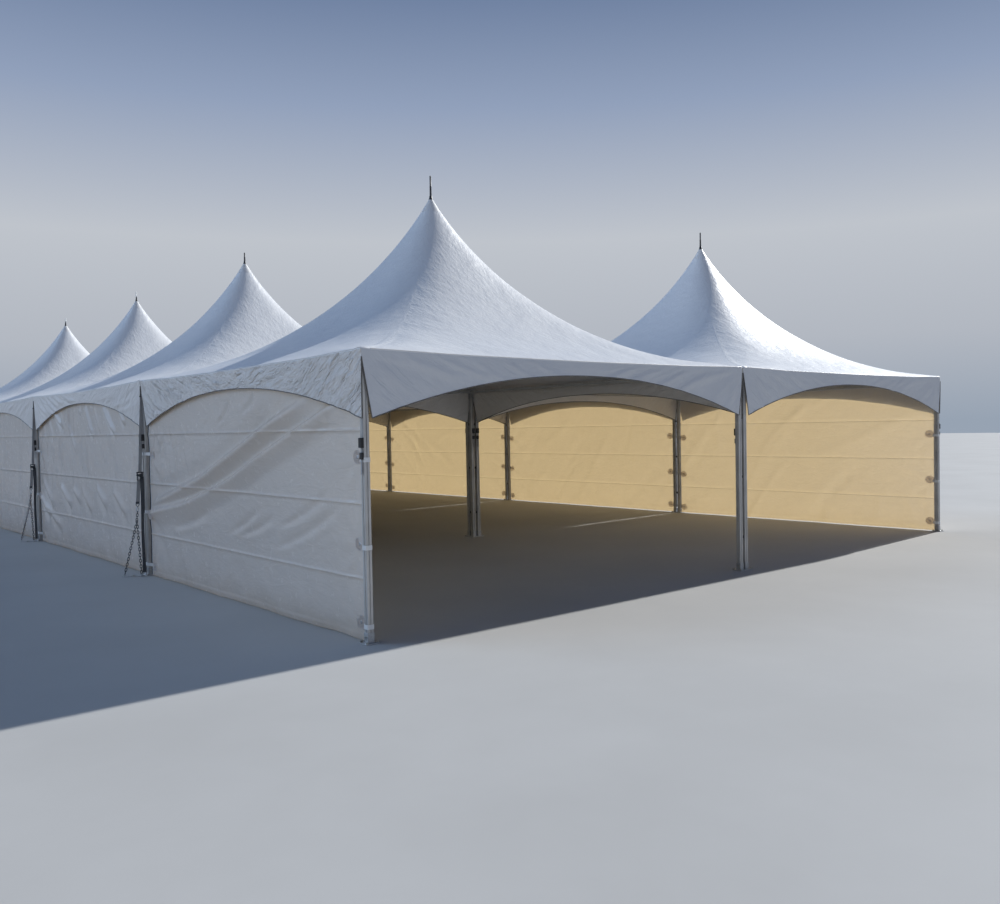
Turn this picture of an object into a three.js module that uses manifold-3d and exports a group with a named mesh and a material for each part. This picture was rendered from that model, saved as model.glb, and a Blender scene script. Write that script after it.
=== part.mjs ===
// High-peak frame marquee: eight square units, two wide and four deep, side by side.
// Every unit has its own eave frame, legs, floating king mast on crossed cables, and
// tensioned canopy with an arched valance on all four sides. The two long sides and the
// back are closed with wall panels, the front is open.
// Millimetres, +Z up. Origin on the ground in the middle of the plan. +Y runs from the open
// front (at -Y) to the back.

import * as THREE from 'three';
import { mergeVertices } from 'three/addons/utils/BufferGeometryUtils.js';
import Module from 'manifold-3d';

const wasm = await Module();
wasm.setup();

// ---------------------------------------------------------------- driving dimensions
const UNIT = 6096;              // side of one square unit, 20 ft
const ACROSS = 2;               // units across the front
const DEEP = 4;                 // units from front to back
const EAVE = 2800;              // top of the canopy at its edge
const APEX = 5312;              // top of the canopy at its peak
const SHELL = 8;                // thickness of the fabric solids

const CANOPY_IN = 10;           // canopy edge, in from the unit's line
const FRAME_IN = 26;            // outer face of legs and eave beams, in from the unit's line
const TUBE = 64;                // square tube of legs and eave beams
const SLEEVE = 72;              // corner sleeve round the tube
const SLEEVE_LOW = 2600;
const BEAM_LOW = 2696;
const BEAM_HIGH = 2760;
const SLEEVE_HIGH = 2768;

const PLATE = 12;               // base plate thickness
const PLATE_MARGIN = 48;        // base plate beyond the leg's faces
const STAKE_HOLE = 22;          // hole in the base plate for a stake or bolt

const VALANCE_MID = 2572;       // lower edge of the valance at mid span
const VALANCE_MID_FRONT = 2622; // and on the open front, where it is cut shallower
const VALANCE_TIP = 2155;       // tips of its corner tabs
const VALANCE_POWER = 2.1;
const TAB_END = 0.966;          // the arch ends here, as a share of the half side, and the slit starts
const TAB_END_FRONT = 0.995;    // the same on the long sides, at each unit's front end
const TAB_END_BACK = 0.945;     // and at its back end
const SLIT_TOP = 2740;

const MAST_FOOT = 2500;         // underside of the king mast
const MAST_R = 25;
const CROWN_R = 60;             // crown plate that carries the fabric
const NECK_R = 13;
const HOLE_R = 20;              // hole in the fabric for the neck
const COLLAR_R = 28;
const CABLE_R = 6;
const FINIALS = [               // tip above the canopy's peak: [left row, right row], front to back
  [293, 268], [173, 173], [183, 173], [173, 173],
];

const WALL_IN = 58;             // wall panel's middle plane, in from the unit's line
const WALL_END = 104;           // wall panel's side edge, in from the unit's corner
const WALL_LOW = 14;            // just over the base plates
const WALL_HIGH = 2686;

const STRAP_W = 50;             // guy strap at the side posts
const STRAP_T = 4;
const RATCHET_Z = 1440;
const STRAP_ALONG = 28;         // the strap hangs this far in front of the unit line
const RATCHET_OUT = 44;         // how far the ratchet hangs out from the unit's line
const HOOK_Z = 990;             // where the webbing hooks onto the chain
const CHAIN_Z = 790;            // where the chain forks
const ANCHOR = [[76, -90], [262, 50]];  // the chain's two ends on the ground, out and along

const GAP = 0.3;

// ---------------------------------------------------------------- materials
const vinyl = new THREE.MeshStandardMaterial({ color: 0xe9ebee, roughness: 0.5, metalness: 0.0, side: THREE.DoubleSide });
const wallVinyl = new THREE.MeshStandardMaterial({ color: 0xdcdde0, roughness: 0.6, metalness: 0.0, side: THREE.DoubleSide });
const aluminium = new THREE.MeshStandardMaterial({ color: 0xb4b6b6, roughness: 0.45, metalness: 0.9 });
const steel = new THREE.MeshStandardMaterial({ color: 0x8d9093, roughness: 0.4, metalness: 0.9 });
const webbing = new THREE.MeshStandardMaterial({ color: 0x6d7075, roughness: 0.85, metalness: 0.0 });

// ---------------------------------------------------------------- solids
function solid(geometry) {
  const g = geometry.clone();
  g.deleteAttribute('normal');
  g.deleteAttribute('uv');
  const m = mergeVertices(g, 1e-3);
  return new wasm.Manifold(new wasm.Mesh({
    numProp: 3,
    vertProperties: new Float32Array(m.attributes.position.array),
    triVerts: new Uint32Array(m.index.array),
  }));
}

function geometryOf(manifold) {
  const mesh = manifold.getMesh();
  const g = new THREE.BufferGeometry();
  g.setAttribute('position', new THREE.BufferAttribute(new Float32Array(mesh.vertProperties), 3));
  g.setIndex(new THREE.BufferAttribute(new Uint32Array(mesh.triVerts), 1));
  g.computeVertexNormals();
  return g;
}

function join(geometries) {
  return geometryOf(geometries.map(solid).reduce((a, b) => a.add(b)));
}

// box between two corners
function box(x0, y0, z0, x1, y1, z1) {
  const g = new THREE.BoxGeometry(x1 - x0, y1 - y0, z1 - z0);
  g.translate((x0 + x1) / 2, (y0 + y1) / 2, (z0 + z1) / 2);
  return g;
}

// bar of rectangular section from a to b; its width lies along the given direction
function bar(a, b, width, thickness, widthDir) {
  const along = new THREE.Vector3().subVectors(b, a);
  const length = along.length();
  along.normalize();
  const w = widthDir.clone().addScaledVector(along, -widthDir.dot(along)).normalize();
  const t = new THREE.Vector3().crossVectors(along, w);
  const g = new THREE.BoxGeometry(width, thickness, length);
  g.applyMatrix4(new THREE.Matrix4().makeBasis(w, t, along));
  g.translate((a.x + b.x) / 2, (a.y + b.y) / 2, (a.z + b.z) / 2);
  return g;
}

// round rod from a to b
function rod(a, b, radius, sides) {
  const along = new THREE.Vector3().subVectors(b, a);
  const g = new THREE.CylinderGeometry(radius, radius, along.length(), sides);
  g.applyQuaternion(new THREE.Quaternion().setFromUnitVectors(new THREE.Vector3(0, 1, 0), along.clone().normalize()));
  g.translate((a.x + b.x) / 2, (a.y + b.y) / 2, (a.z + b.z) / 2);
  return g;
}

// ---------------------------------------------------------------- canopy
// Height of the fabric above the eave as a share of the rise, at share t of the way out.
// It falls steeply from the crown and flattens towards the eave.
function rise(t) {
  return 0.547 * Math.pow(1 - t, 1.219) + 0.453 * Math.pow(1 - t, 3.067);
}

// Contours go from round at the crown to square at the eave.
function contour(t, side, s, half) {
  const n = t >= 1 ? Infinity : 2 + 4.63 * t + 25 * Math.pow(t, 14);
  const norm = n === Infinity ? 1 : Math.pow(1 + Math.pow(Math.abs(s), n), 1 / n);
  const a = (t * half) / norm;
  const b = a * s;
  return [[b, -a], [a, b], [-b, a], [-a, -b]][side];
}

// Lower edge of the valance along one side, s from -1 to 1: an arch between two pointed tabs,
// and slits that open downwards at the corners.
const TAB_ENDS = [              // [where s is negative, where s is positive] on each side
  [TAB_END, TAB_END], [TAB_END_FRONT, TAB_END_BACK], [TAB_END, TAB_END], [TAB_END_BACK, TAB_END_FRONT],
];

function valanceLow(side, s, front) {
  const a = Math.abs(s);
  const end = TAB_ENDS[side][s < 0 ? 0 : 1];
  const mid = front && side === 0 ? VALANCE_MID_FRONT : VALANCE_MID;
  if (a > end) return VALANCE_TIP + ((a - end) / (1 - end)) * (SLIT_TOP - VALANCE_TIP);
  return mid - (mid - VALANCE_TIP) * Math.pow(a / end, VALANCE_POWER);
}

const CANOPY_HALF = UNIT / 2 - CANOPY_IN;
const along = (side) => [-1, -TAB_ENDS[side][0], -0.8, -0.5, 0, 0.5, 0.8, TAB_ENDS[side][1]];
const OUT = [0, 0.05, 0.15, 0.32, 0.58, 0.82, 1];

function canopyHeight(t) {
  return EAVE + (APEX - EAVE) * rise(t);
}

function canopy(front) {
  const ring = [];
  for (let side = 0; side < 4; side++) for (const s of along(side)) ring.push([side, s]);
  const count = ring.length;
  const points = [];
  // outer rows from the crown down, then the hem, then the inner rows back up
  const row = (t, half, drop) => {
    for (const [side, s] of ring) {
      const [x, y] = contour(t, side, s, half);
      points.push(x, y, canopyHeight(t) - drop);
    }
  };
  const hem = (half) => {
    for (const [side, s] of ring) {
      const [x, y] = contour(1, side, s, half);
      points.push(x, y, valanceLow(side, s, front));
    }
  };
  const first = HOLE_R / CANOPY_HALF;
  for (const t of OUT) row(t === 0 ? first : t, CANOPY_HALF, 0);
  hem(CANOPY_HALF);
  hem(CANOPY_HALF - SHELL);
  for (const t of [...OUT].reverse()) row(t === 0 ? first : t, CANOPY_HALF - SHELL, SHELL * 1.3);
  const rows = points.length / 3 / count;
  const index = [];
  for (let r = 0; r < rows; r++) {
    const a = r * count;
    const b = ((r + 1) % rows) * count;
    for (let i = 0; i < count; i++) {
      const j = (i + 1) % count;
      index.push(a + i, b + i, b + j, a + i, b + j, a + j);
    }
  }
  const g = new THREE.BufferGeometry();
  g.setAttribute('position', new THREE.Float32BufferAttribute(points, 3));
  g.setIndex(index);
  g.computeVertexNormals();
  return g;
}

// ---------------------------------------------------------------- frame
function eaveFrame() {
  const outer = UNIT / 2 - FRAME_IN;
  const inner = outer - TUBE;
  const shape = new THREE.Shape();
  shape.moveTo(-outer, -outer).lineTo(outer, -outer).lineTo(outer, outer).lineTo(-outer, outer).closePath();
  const hole = new THREE.Path();
  hole.moveTo(-inner, -inner).lineTo(-inner, inner).lineTo(inner, inner).lineTo(inner, -inner).closePath();
  shape.holes.push(hole);
  const beams = new THREE.ExtrudeGeometry(shape, { depth: BEAM_HIGH - BEAM_LOW, bevelEnabled: false });
  beams.translate(0, 0, BEAM_LOW);
  const pieces = [beams];
  const c = outer - TUBE / 2;
  const h = SLEEVE / 2;
  for (const sx of [-1, 1]) {
    for (const sy of [-1, 1]) {
      pieces.push(box(sx * c - h, sy * c - h, SLEEVE_LOW, sx * c + h, sy * c + h, SLEEVE_HIGH));
    }
  }
  return join(pieces);
}

// legs of the units that meet at one point of the plan, on their shared base plate
function legs(offsets) {
  const d = FRAME_IN + TUBE / 2;
  const h = TUBE / 2;
  const xs = offsets.map((o) => o[0] * d);
  const ys = offsets.map((o) => o[1] * d);
  const m = h + PLATE_MARGIN;
  const x0 = Math.min(...xs) - m, x1 = Math.max(...xs) + m;
  const y0 = Math.min(...ys) - m, y1 = Math.max(...ys) + m;
  const shape = new THREE.Shape();
  const c = 14;
  shape.moveTo(x0 + c, y0).lineTo(x1 - c, y0).lineTo(x1, y0 + c).lineTo(x1, y1 - c)
    .lineTo(x1 - c, y1).lineTo(x0 + c, y1).lineTo(x0, y1 - c).lineTo(x0, y0 + c).closePath();
  const e = PLATE_MARGIN / 2;
  for (const hx of [x0 + e, x1 - e]) {
    for (const hy of [y0 + e, y1 - e]) {
      const hole = new THREE.Path();
      for (let k = 0; k < 6; k++) {
        const a = -(k / 6) * 2 * Math.PI;
        const p = [hx + (STAKE_HOLE / 2) * Math.cos(a), hy + (STAKE_HOLE / 2) * Math.sin(a)];
        if (k === 0) hole.moveTo(...p); else hole.lineTo(...p);
      }
      hole.closePath();
      shape.holes.push(hole);
    }
  }
  const plate = new THREE.ExtrudeGeometry(shape, { depth: PLATE, bevelEnabled: false });
  const pieces = [plate];
  offsets.forEach((o, i) => {
    pieces.push(box(xs[i] - h, ys[i] - h, PLATE - 2, xs[i] + h, ys[i] + h, SLEEVE_LOW - GAP));
  });
  return join(pieces);
}

// king mast hung on four cables that run from its foot to the corner sleeves
function mast(tip) {
  const crown = EAVE + (APEX - EAVE) * rise(CROWN_R / CANOPY_HALF) - SHELL * 1.3 - 4;
  const profile = [
    [0, MAST_FOOT], [45, MAST_FOOT], [45, MAST_FOOT + 60], [MAST_R, MAST_FOOT + 66],
    [MAST_R, crown - 60], [CROWN_R, crown - 10], [CROWN_R, crown], [NECK_R, crown + 12],
    [NECK_R, APEX + 4], [COLLAR_R, APEX + 4], [COLLAR_R, APEX + 34], [14, APEX + 44],
    [14, APEX + tip - 8], [0, APEX + tip],
  ].map(([r, z]) => new THREE.Vector2(r, z));
  const body = new THREE.LatheGeometry(profile, 8);
  body.rotateX(Math.PI / 2);
  const pieces = [body];
  const far = UNIT / 2 - FRAME_IN - TUBE / 2 - SLEEVE / 2 - 1;
  for (const sx of [-1, 1]) {
    for (const sy of [-1, 1]) {
      pieces.push(rod(
        new THREE.Vector3(sx * 14, sy * 14, MAST_FOOT + 30),
        new THREE.Vector3(sx * far, sy * far, BEAM_LOW + 30), CABLE_R, 6));
    }
  }
  return join(pieces);
}

// ---------------------------------------------------------------- walls and straps
// flat panel in the X-Z plane, in the middle of its bay
function wall() {
  const w = UNIT / 2 - WALL_END;
  return box(-w, -SHELL / 2, WALL_LOW, w, SHELL / 2, WALL_HIGH);
}

// guy strap in front of a pair of legs, facing -X: webbing from the eave, ratchet with its
// loose tail, lower webbing, and a chain that forks to a foot plate on the ground
function guyStrap() {
  const V = (a, b, c) => new THREE.Vector3(a, b, c);
  const across = V(1, 0, 0);
  const r = -RATCHET_OUT;
  const s = -STRAP_ALONG;
  const hook = V(-86, s, HOOK_Z);
  const fork = V(-102, s, CHAIN_Z);
  const [[ax, ay], [bx, by]] = ANCHOR;
  const a = V(-ax, ay, 4);
  const b = V(-bx, by, 4);
  const side = V(b.y - a.y, a.x - b.x, 0).normalize();
  const over = V().subVectors(b, a).normalize().multiplyScalar(35);
  const pieces = [
    bar(V(18, -20, SLEEVE_LOW - 8), V(r, s, RATCHET_Z), STRAP_W, STRAP_T, across),
    box(r - 46, s - 22, RATCHET_Z - 62, r + 46, s + 22, RATCHET_Z + 62),
    bar(V(r - 12, s, RATCHET_Z - 40), V(hook.x, hook.y, HOOK_Z - 20), STRAP_W, STRAP_T, across),
    bar(V(r + 24, s - 6, RATCHET_Z - 40), V(r + 22, s - 8, 60), STRAP_W, STRAP_T, across),
    rod(hook, fork, 9, 6),
    rod(fork, V(a.x, a.y, 0), 7, 6),
    rod(fork, V(b.x, b.y, 0), 7, 6),
    bar(V().subVectors(a, over), V().addVectors(b, over), 80, 8, side),
  ];
  return geometryOf(pieces.map(solid).reduce((p, q) => p.add(q)).trimByPlane([0, 0, 1], 0));
}

// ---------------------------------------------------------------- assembly
const marquee = new THREE.Group();
marquee.name = 'marquee';

function place(name, geometry, material, x, y, turn = 0) {
  const mesh = new THREE.Mesh(geometry, material);
  mesh.name = name;
  mesh.position.set(x, y, 0);
  mesh.rotation.z = turn;
  marquee.add(mesh);
  return mesh;
}

const lineX = (i) => (i - ACROSS / 2) * UNIT;
const lineY = (j) => (j - DEEP / 2) * UNIT;
const midX = (i) => lineX(i) + UNIT / 2;
const midY = (j) => lineY(j) + UNIT / 2;
const SIDE = ['left', 'right'];
const COLUMN = ['left', 'middle', 'right'];

const canopyGeometry = canopy(false);
const frontCanopyGeometry = canopy(true);
const frameGeometry = eaveFrame();
for (let j = 0; j < DEEP; j++) {
  for (let i = 0; i < ACROSS; i++) {
    const tag = `${SIDE[i]}_${j + 1}`;
    place(`canopy_${tag}`, j === 0 ? frontCanopyGeometry : canopyGeometry, vinyl, midX(i), midY(j));
    place(`eave_frame_${tag}`, frameGeometry, aluminium, midX(i), midY(j));
    place(`king_mast_${tag}`, mast(FINIALS[j][i]), steel, midX(i), midY(j));
  }
}

for (let j = 0; j <= DEEP; j++) {
  for (let i = 0; i <= ACROSS; i++) {
    const offsets = [];
    for (const sx of [-1, 1]) {
      for (const sy of [-1, 1]) {
        const u = sx < 0 ? i - 1 : i;
        const v = sy < 0 ? j - 1 : j;
        if (u >= 0 && u < ACROSS && v >= 0 && v < DEEP) offsets.push([sx, sy]);
      }
    }
    place(`legs_${COLUMN[i]}_${j + 1}`, legs(offsets), aluminium, lineX(i), lineY(j));
  }
}

const wallGeometry = wall();
for (let j = 0; j < DEEP; j++) {
  place(`wall_left_${j + 1}`, wallGeometry, wallVinyl, lineX(0) + WALL_IN, midY(j), Math.PI / 2);
  place(`wall_right_${j + 1}`, wallGeometry, wallVinyl, lineX(ACROSS) - WALL_IN, midY(j), Math.PI / 2);
}
for (let i = 0; i < ACROSS; i++) {
  place(`wall_back_${SIDE[i]}`, wallGeometry, wallVinyl, midX(i), lineY(DEEP) - WALL_IN);
}

const strapGeometry = guyStrap();
const mirrored = strapGeometry.clone();
mirrored.scale(-1, 1, 1);
{
  const index = mirrored.index.array;
  for (let k = 0; k < index.length; k += 3) [index[k + 1], index[k + 2]] = [index[k + 2], index[k + 1]];
  mirrored.computeVertexNormals();
}
for (let j = 1; j < DEEP; j++) {
  place(`guy_strap_left_${j + 1}`, strapGeometry, webbing, lineX(0), lineY(j));
  place(`guy_strap_right_${j + 1}`, mirrored, webbing, lineX(ACROSS), lineY(j));
}

export default marquee;
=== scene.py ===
import math

import bpy
import numpy as np
from mathutils import Matrix, Vector


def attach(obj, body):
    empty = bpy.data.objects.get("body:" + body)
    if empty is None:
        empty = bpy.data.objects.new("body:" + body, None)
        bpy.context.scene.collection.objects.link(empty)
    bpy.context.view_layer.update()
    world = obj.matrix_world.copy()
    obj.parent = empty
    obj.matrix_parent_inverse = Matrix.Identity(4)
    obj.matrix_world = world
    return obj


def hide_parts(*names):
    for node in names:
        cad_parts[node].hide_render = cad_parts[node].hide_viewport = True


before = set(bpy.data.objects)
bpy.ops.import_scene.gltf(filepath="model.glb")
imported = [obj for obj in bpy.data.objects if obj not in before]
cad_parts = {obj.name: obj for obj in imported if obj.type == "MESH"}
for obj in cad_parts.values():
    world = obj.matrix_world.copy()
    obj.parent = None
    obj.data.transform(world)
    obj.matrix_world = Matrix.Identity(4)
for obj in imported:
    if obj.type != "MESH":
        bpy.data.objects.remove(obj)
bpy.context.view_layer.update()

# ------------------------------------------------------------------ dimensions, metres
UNIT = 6.096
EAVE = 2.800
APEX = 5.312
HALF = 3.038          # canopy, half its side
FRAME_HALF = 3.022    # outer face of legs and eave beams, from the unit's middle
TUBE = 0.064
TAB_ENDS = [(0.966, 0.966), (0.995, 0.945), (0.966, 0.966), (0.945, 0.995)]
SLIT_TOP = 2.740
WALL_PLANE = 0.058    # middle plane of a wall panel, in from the unit line
WALL_HALF = 2.944
WALL_LOW, WALL_HIGH = 0.014, 2.686
FINIALS = [(0.293, 0.268), (0.173, 0.173), (0.183, 0.173), (0.173, 0.173)]
SIDES = ("left", "right")
COLUMNS = ("left", "middle", "right")


def mid_x(i):
    return (i - 0.5) * UNIT


def mid_y(j):
    return (j - 1.5) * UNIT


def line_x(i):
    return (i - 1) * UNIT


def line_y(j):
    return (j - 2) * UNIT


def smooth(a, b, x):
    t = np.clip((np.asarray(x, float) - a) / (b - a), 0.0, 1.0)
    return t * t * (3 - 2 * t)


# ------------------------------------------------------------------ camera, light, floor
def stage():
    scene = bpy.context.scene
    yaw, pitch, roll = 0.7170, -0.0266, -0.0187
    f = Vector((math.sin(yaw) * math.cos(pitch), math.cos(yaw) * math.cos(pitch), math.sin(pitch)))
    r = Vector((math.cos(yaw), -math.sin(yaw), 0.0))
    u = r.cross(f)
    c, s = math.cos(roll), math.sin(roll)
    right, up = r * c + u * s, u * c - r * s
    cam = bpy.data.cameras.new("camera")
    cam.sensor_fit = "HORIZONTAL"
    cam.sensor_width = 36.0
    cam.lens = 32.705
    cam.shift_x = -0.0196
    cam.clip_end = 500.0
    eye = bpy.data.objects.new("camera", cam)
    scene.collection.objects.link(eye)
    m = Matrix.Identity(4)
    for k in range(3):
        m[k][0], m[k][1], m[k][2] = right[k], up[k], -f[k]
    m.translation = Vector((-10.6173, -19.6282, 2.0369))
    eye.matrix_world = m
    scene.camera = eye

    sun = bpy.data.lights.new("sun", "SUN")
    sun.energy = 4.05
    sun.angle = math.radians(1.0)
    sun.color = (1.0, 1.0, 0.98)
    lamp = bpy.data.objects.new("sun", sun)
    lamp.rotation_euler = Vector((0.855, 0.060, 0.515)).to_track_quat("Z", "Y").to_euler()
    scene.collection.objects.link(lamp)
    fill = bpy.data.lights.new("soft_fill", "SUN")
    fill.energy = 0.88
    fill.angle = math.radians(36.0)
    fill.color = (0.52, 0.72, 1.0)
    lamp = bpy.data.objects.new("soft_fill", fill)
    lamp.rotation_euler = Vector((-0.80, 0.80, 0.65)).to_track_quat("Z", "Y").to_euler()
    scene.collection.objects.link(lamp)
    scene.view_settings.view_transform = "Standard"
    scene.view_settings.look = "None"
    scene.view_settings.exposure = 0.0

    world = bpy.data.worlds.new("soft_sky")
    scene.world = world
    world.use_nodes = True
    t = world.node_tree
    t.nodes.clear()
    co = t.nodes.new("ShaderNodeTexCoord")
    sep = t.nodes.new("ShaderNodeSeparateXYZ")
    ramp = t.nodes.new("ShaderNodeValToRGB")
    back = t.nodes.new("ShaderNodeBackground")
    out = t.nodes.new("ShaderNodeOutputWorld")
    t.links.new(co.outputs["Generated"], sep.inputs[0])
    t.links.new(sep.outputs["Z"], ramp.inputs[0])
    ramp.color_ramp.elements[0].position = 0.0
    ramp.color_ramp.elements[0].color = (0.50, 0.59, 0.72, 1)
    ramp.color_ramp.elements[1].position = 0.80
    ramp.color_ramp.elements[1].color = (0.032, 0.065, 0.16, 1)
    for place, colour in ((0.09, (0.72, 0.77, 0.86)), (0.20, (0.84, 0.89, 0.97)), (0.33, (0.46, 0.57, 0.80)), (0.50, (0.10, 0.19, 0.40))):
        e = ramp.color_ramp.elements.new(place)
        e.color = (*colour, 1)
    t.links.new(ramp.outputs[0], back.inputs[0])
    back.inputs[1].default_value = 0.62
    t.links.new(back.outputs[0], out.inputs[0])


def make_floor(material):
    n = 2
    size = 260.0
    me = bpy.data.meshes.new("floor")
    a = size / 2
    me.from_pydata([(-a, -a, 0), (a, -a, 0), (a, a, 0), (-a, a, 0)], [], [(0, 1, 2, 3)])
    me.materials.append(material)
    o = bpy.data.objects.new("floor", me)
    bpy.context.scene.collection.objects.link(o)


# ------------------------------------------------------------------ material kit
class Tree:
    def __init__(self, name):
        self.material = bpy.data.materials.new(name)
        self.material.use_nodes = True
        self.tree = self.material.node_tree
        self.tree.nodes.clear()
        self.out = self.tree.nodes.new("ShaderNodeOutputMaterial")

    def __call__(self, kind, inputs=None, **props):
        n = self.tree.nodes.new("ShaderNode" + kind)
        for k, v in props.items():
            setattr(n, k, v)
        for k, v in (inputs or {}).items():
            if isinstance(v, bpy.types.NodeSocket):
                self.tree.links.new(v, n.inputs[k])
            else:
                n.inputs[k].default_value = v
        return n

    def noise(self, vector, scale, detail=2.0, rough=0.5, stretch=(1, 1, 1), offset=(0, 0, 0)):
        m = self("Mapping", {"Vector": vector, "Scale": stretch, "Location": offset})
        return self("TexNoise", {"Vector": m.outputs[0], "Scale": scale, "Detail": detail, "Roughness": rough}).outputs["Fac"]

    def ramp(self, fac, stops):
        n = self("ValToRGB", {"Fac": fac})
        r = n.color_ramp
        while len(r.elements) < len(stops):
            r.elements.new(0.5)
        for e, (p, c) in zip(r.elements, stops):
            e.position = p
            e.color = (*c, 1) if len(c) == 3 else c
        return n.outputs["Color"]

    def mix(self, fac, a, b):
        n = self("Mix", data_type="RGBA")
        for key, v in (("Factor", fac), ("A", a), ("B", b)):
            sock = next(s for s in n.inputs if s.name == key and (s.type == "RGBA") == (key != "Factor") and s.enabled)
            if isinstance(v, bpy.types.NodeSocket):
                self.tree.links.new(v, sock)
            else:
                sock.default_value = v if key == "Factor" else (*v, 1)
        return next(s for s in n.outputs if s.type == "RGBA" and s.enabled)

    def math(self, op, a, b=None, clamp=False):
        n = self("Math", operation=op, use_clamp=clamp)
        for k, v in enumerate((a, b)):
            if v is None:
                continue
            if isinstance(v, bpy.types.NodeSocket):
                self.tree.links.new(v, n.inputs[k])
            else:
                n.inputs[k].default_value = v
        return n.outputs[0]

    def bump(self, height, distance, strength=1.0, below=None):
        ins = {"Height": height, "Distance": distance, "Strength": strength}
        if below is not None:
            ins["Normal"] = below
        return self("Bump", ins).outputs[0]

    def done(self, shader):
        self.tree.links.new(shader, self.out.inputs["Surface"])
        return self.material


def coated_fabric(name, colour, shade, through, share, pucker, rough, darken_low=0.0, crumple=0.0):
    """White coated fabric. colour and shade are its lighter and darker tone, through what
    comes through it, share how much of the light does, crumple the depth of packing creases."""
    g = Tree(name)
    uv = g("UVMap", uv_map="cloth").outputs[0]
    broad = g.noise(uv, 0.55, 3.0, 0.6)
    fine = g.noise(uv, 9.0, 4.0, 0.65)
    tone = g.ramp(broad, [(0.30, shade), (0.62, colour)])
    tone = g.mix(g.math("MULTIPLY", fine, 0.22), tone, tuple(c * 0.80 for c in shade))
    # darker brown patches towards the bottom of the cloth, fading out by 0.42 m up
    if darken_low:
        height = g("SeparateXYZ", {"Vector": uv}).outputs["Y"]
        low = g.math("SUBTRACT", 1.0, g.math("MULTIPLY", height, 1.0 / 0.42), clamp=True)
        patchy = g.noise(uv, 3.2, 5.0, 0.7, stretch=(0.35, 1.0, 1.0))
        low_patches = g.math("MULTIPLY", g.math("MULTIPLY", low, low), patchy)
        tone = g.mix(g.math("MULTIPLY", low_patches, darken_low, clamp=True), tone, (0.30, 0.27, 0.22))
    hammered = g.noise(uv, 1.0, 3.0, 0.6, stretch=(18.0, 9.0, 1.0))
    soft = g.noise(uv, 2.3, 2.0, 0.5)
    weave_u = g("TexWave", {"Vector": uv, "Scale": 92.0, "Distortion": 0.3}, bands_direction="X").outputs["Fac"]
    weave_v = g("TexWave", {"Vector": uv, "Scale": 92.0, "Distortion": 0.3}, bands_direction="Y").outputs["Fac"]
    n = g.bump(soft, 0.030, 0.55)
    if crumple:
        for scale, turn, part in ((3.1, 0.6, 1.0), (6.3, -0.9, 0.55)):
            m = g("Mapping", {"Vector": uv, "Rotation": (0, 0, turn), "Scale": (0.55, 1.5, 1.0), "Location": (scale, turn, 0)})
            fold = g("TexNoise", {"Vector": m.outputs[0], "Scale": scale, "Detail": 3.0, "Roughness": 0.55, "Distortion": 0.7}).outputs["Fac"]
            ridge = g.math("SUBTRACT", 1.0, g.math("ABSOLUTE", g.math("SUBTRACT", g.math("MULTIPLY", fold, 2.0), 1.0)), clamp=True)
            n = g.bump(g.math("POWER", ridge, 3.0), crumple * part, 1.0, n)
    n = g.bump(hammered, pucker, 0.9, n)
    n = g.bump(g.math("ADD", weave_u, weave_v), 0.00012, 0.5, n)
    gloss = g("MapRange", {"Value": fine, "To Min": rough - 0.06, "To Max": rough + 0.10}).outputs[0]
    skin = g("BsdfPrincipled", {"Base Color": tone, "Roughness": gloss, "Normal": n, "Specular IOR Level": 0.50,
                                "Sheen Weight": 0.06})
    glow = g.mix(fine, through, tuple(c * 0.86 for c in through))
    let = g("BsdfTranslucent", {"Color": glow, "Normal": n})
    both = g("MixShader", {"Fac": share})
    g.tree.links.new(skin.outputs[0], both.inputs[1])
    g.tree.links.new(let.outputs[0], both.inputs[2])
    return g.done(both.outputs[0])


def metal(name, light, dark, rough, streak, metallic=1.0, spangle=0.0, wear=0.25):
    g = Tree(name)
    at = g("TexCoord").outputs["Object"]
    cloud = g.noise(at, 3.0, 4.0, 0.6)
    lines = g.noise(at, 6.0, 3.0, 0.6, stretch=streak)
    tone = g.ramp(g.math("ADD", g.math("MULTIPLY", cloud, 0.6), g.math("MULTIPLY", lines, 0.4)), [(0.34, dark), (0.60, light)])
    if spangle:
        cells = g("TexVoronoi", {"Vector": at, "Scale": 110.0}, feature="F1").outputs["Color"]
        grey = g("SeparateColor", {"Color": cells}).outputs[0]
        tone = g.mix(g.math("MULTIPLY", grey, spangle), tone, tuple(min(1, c * 1.35) for c in light))
    spots = g.ramp(g.noise(at, 24.0, 5.0, 0.7), [(0.60, (0, 0, 0)), (0.74, (1, 1, 1))])
    tone = g.mix(g.math("MULTIPLY", spots, wear), tone, tuple(c * 0.55 for c in dark))
    n = g.bump(lines, 0.0006, 0.5)
    n = g.bump(g.noise(at, 90.0, 3.0, 0.6), 0.0004, 0.35, n)
    r = g("MapRange", {"Value": cloud, "To Min": rough - 0.10, "To Max": rough + 0.14}).outputs[0]
    skin = g("BsdfPrincipled", {"Base Color": tone, "Roughness": r, "Metallic": metallic, "Normal": n})
    return g.done(skin.outputs[0])


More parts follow.
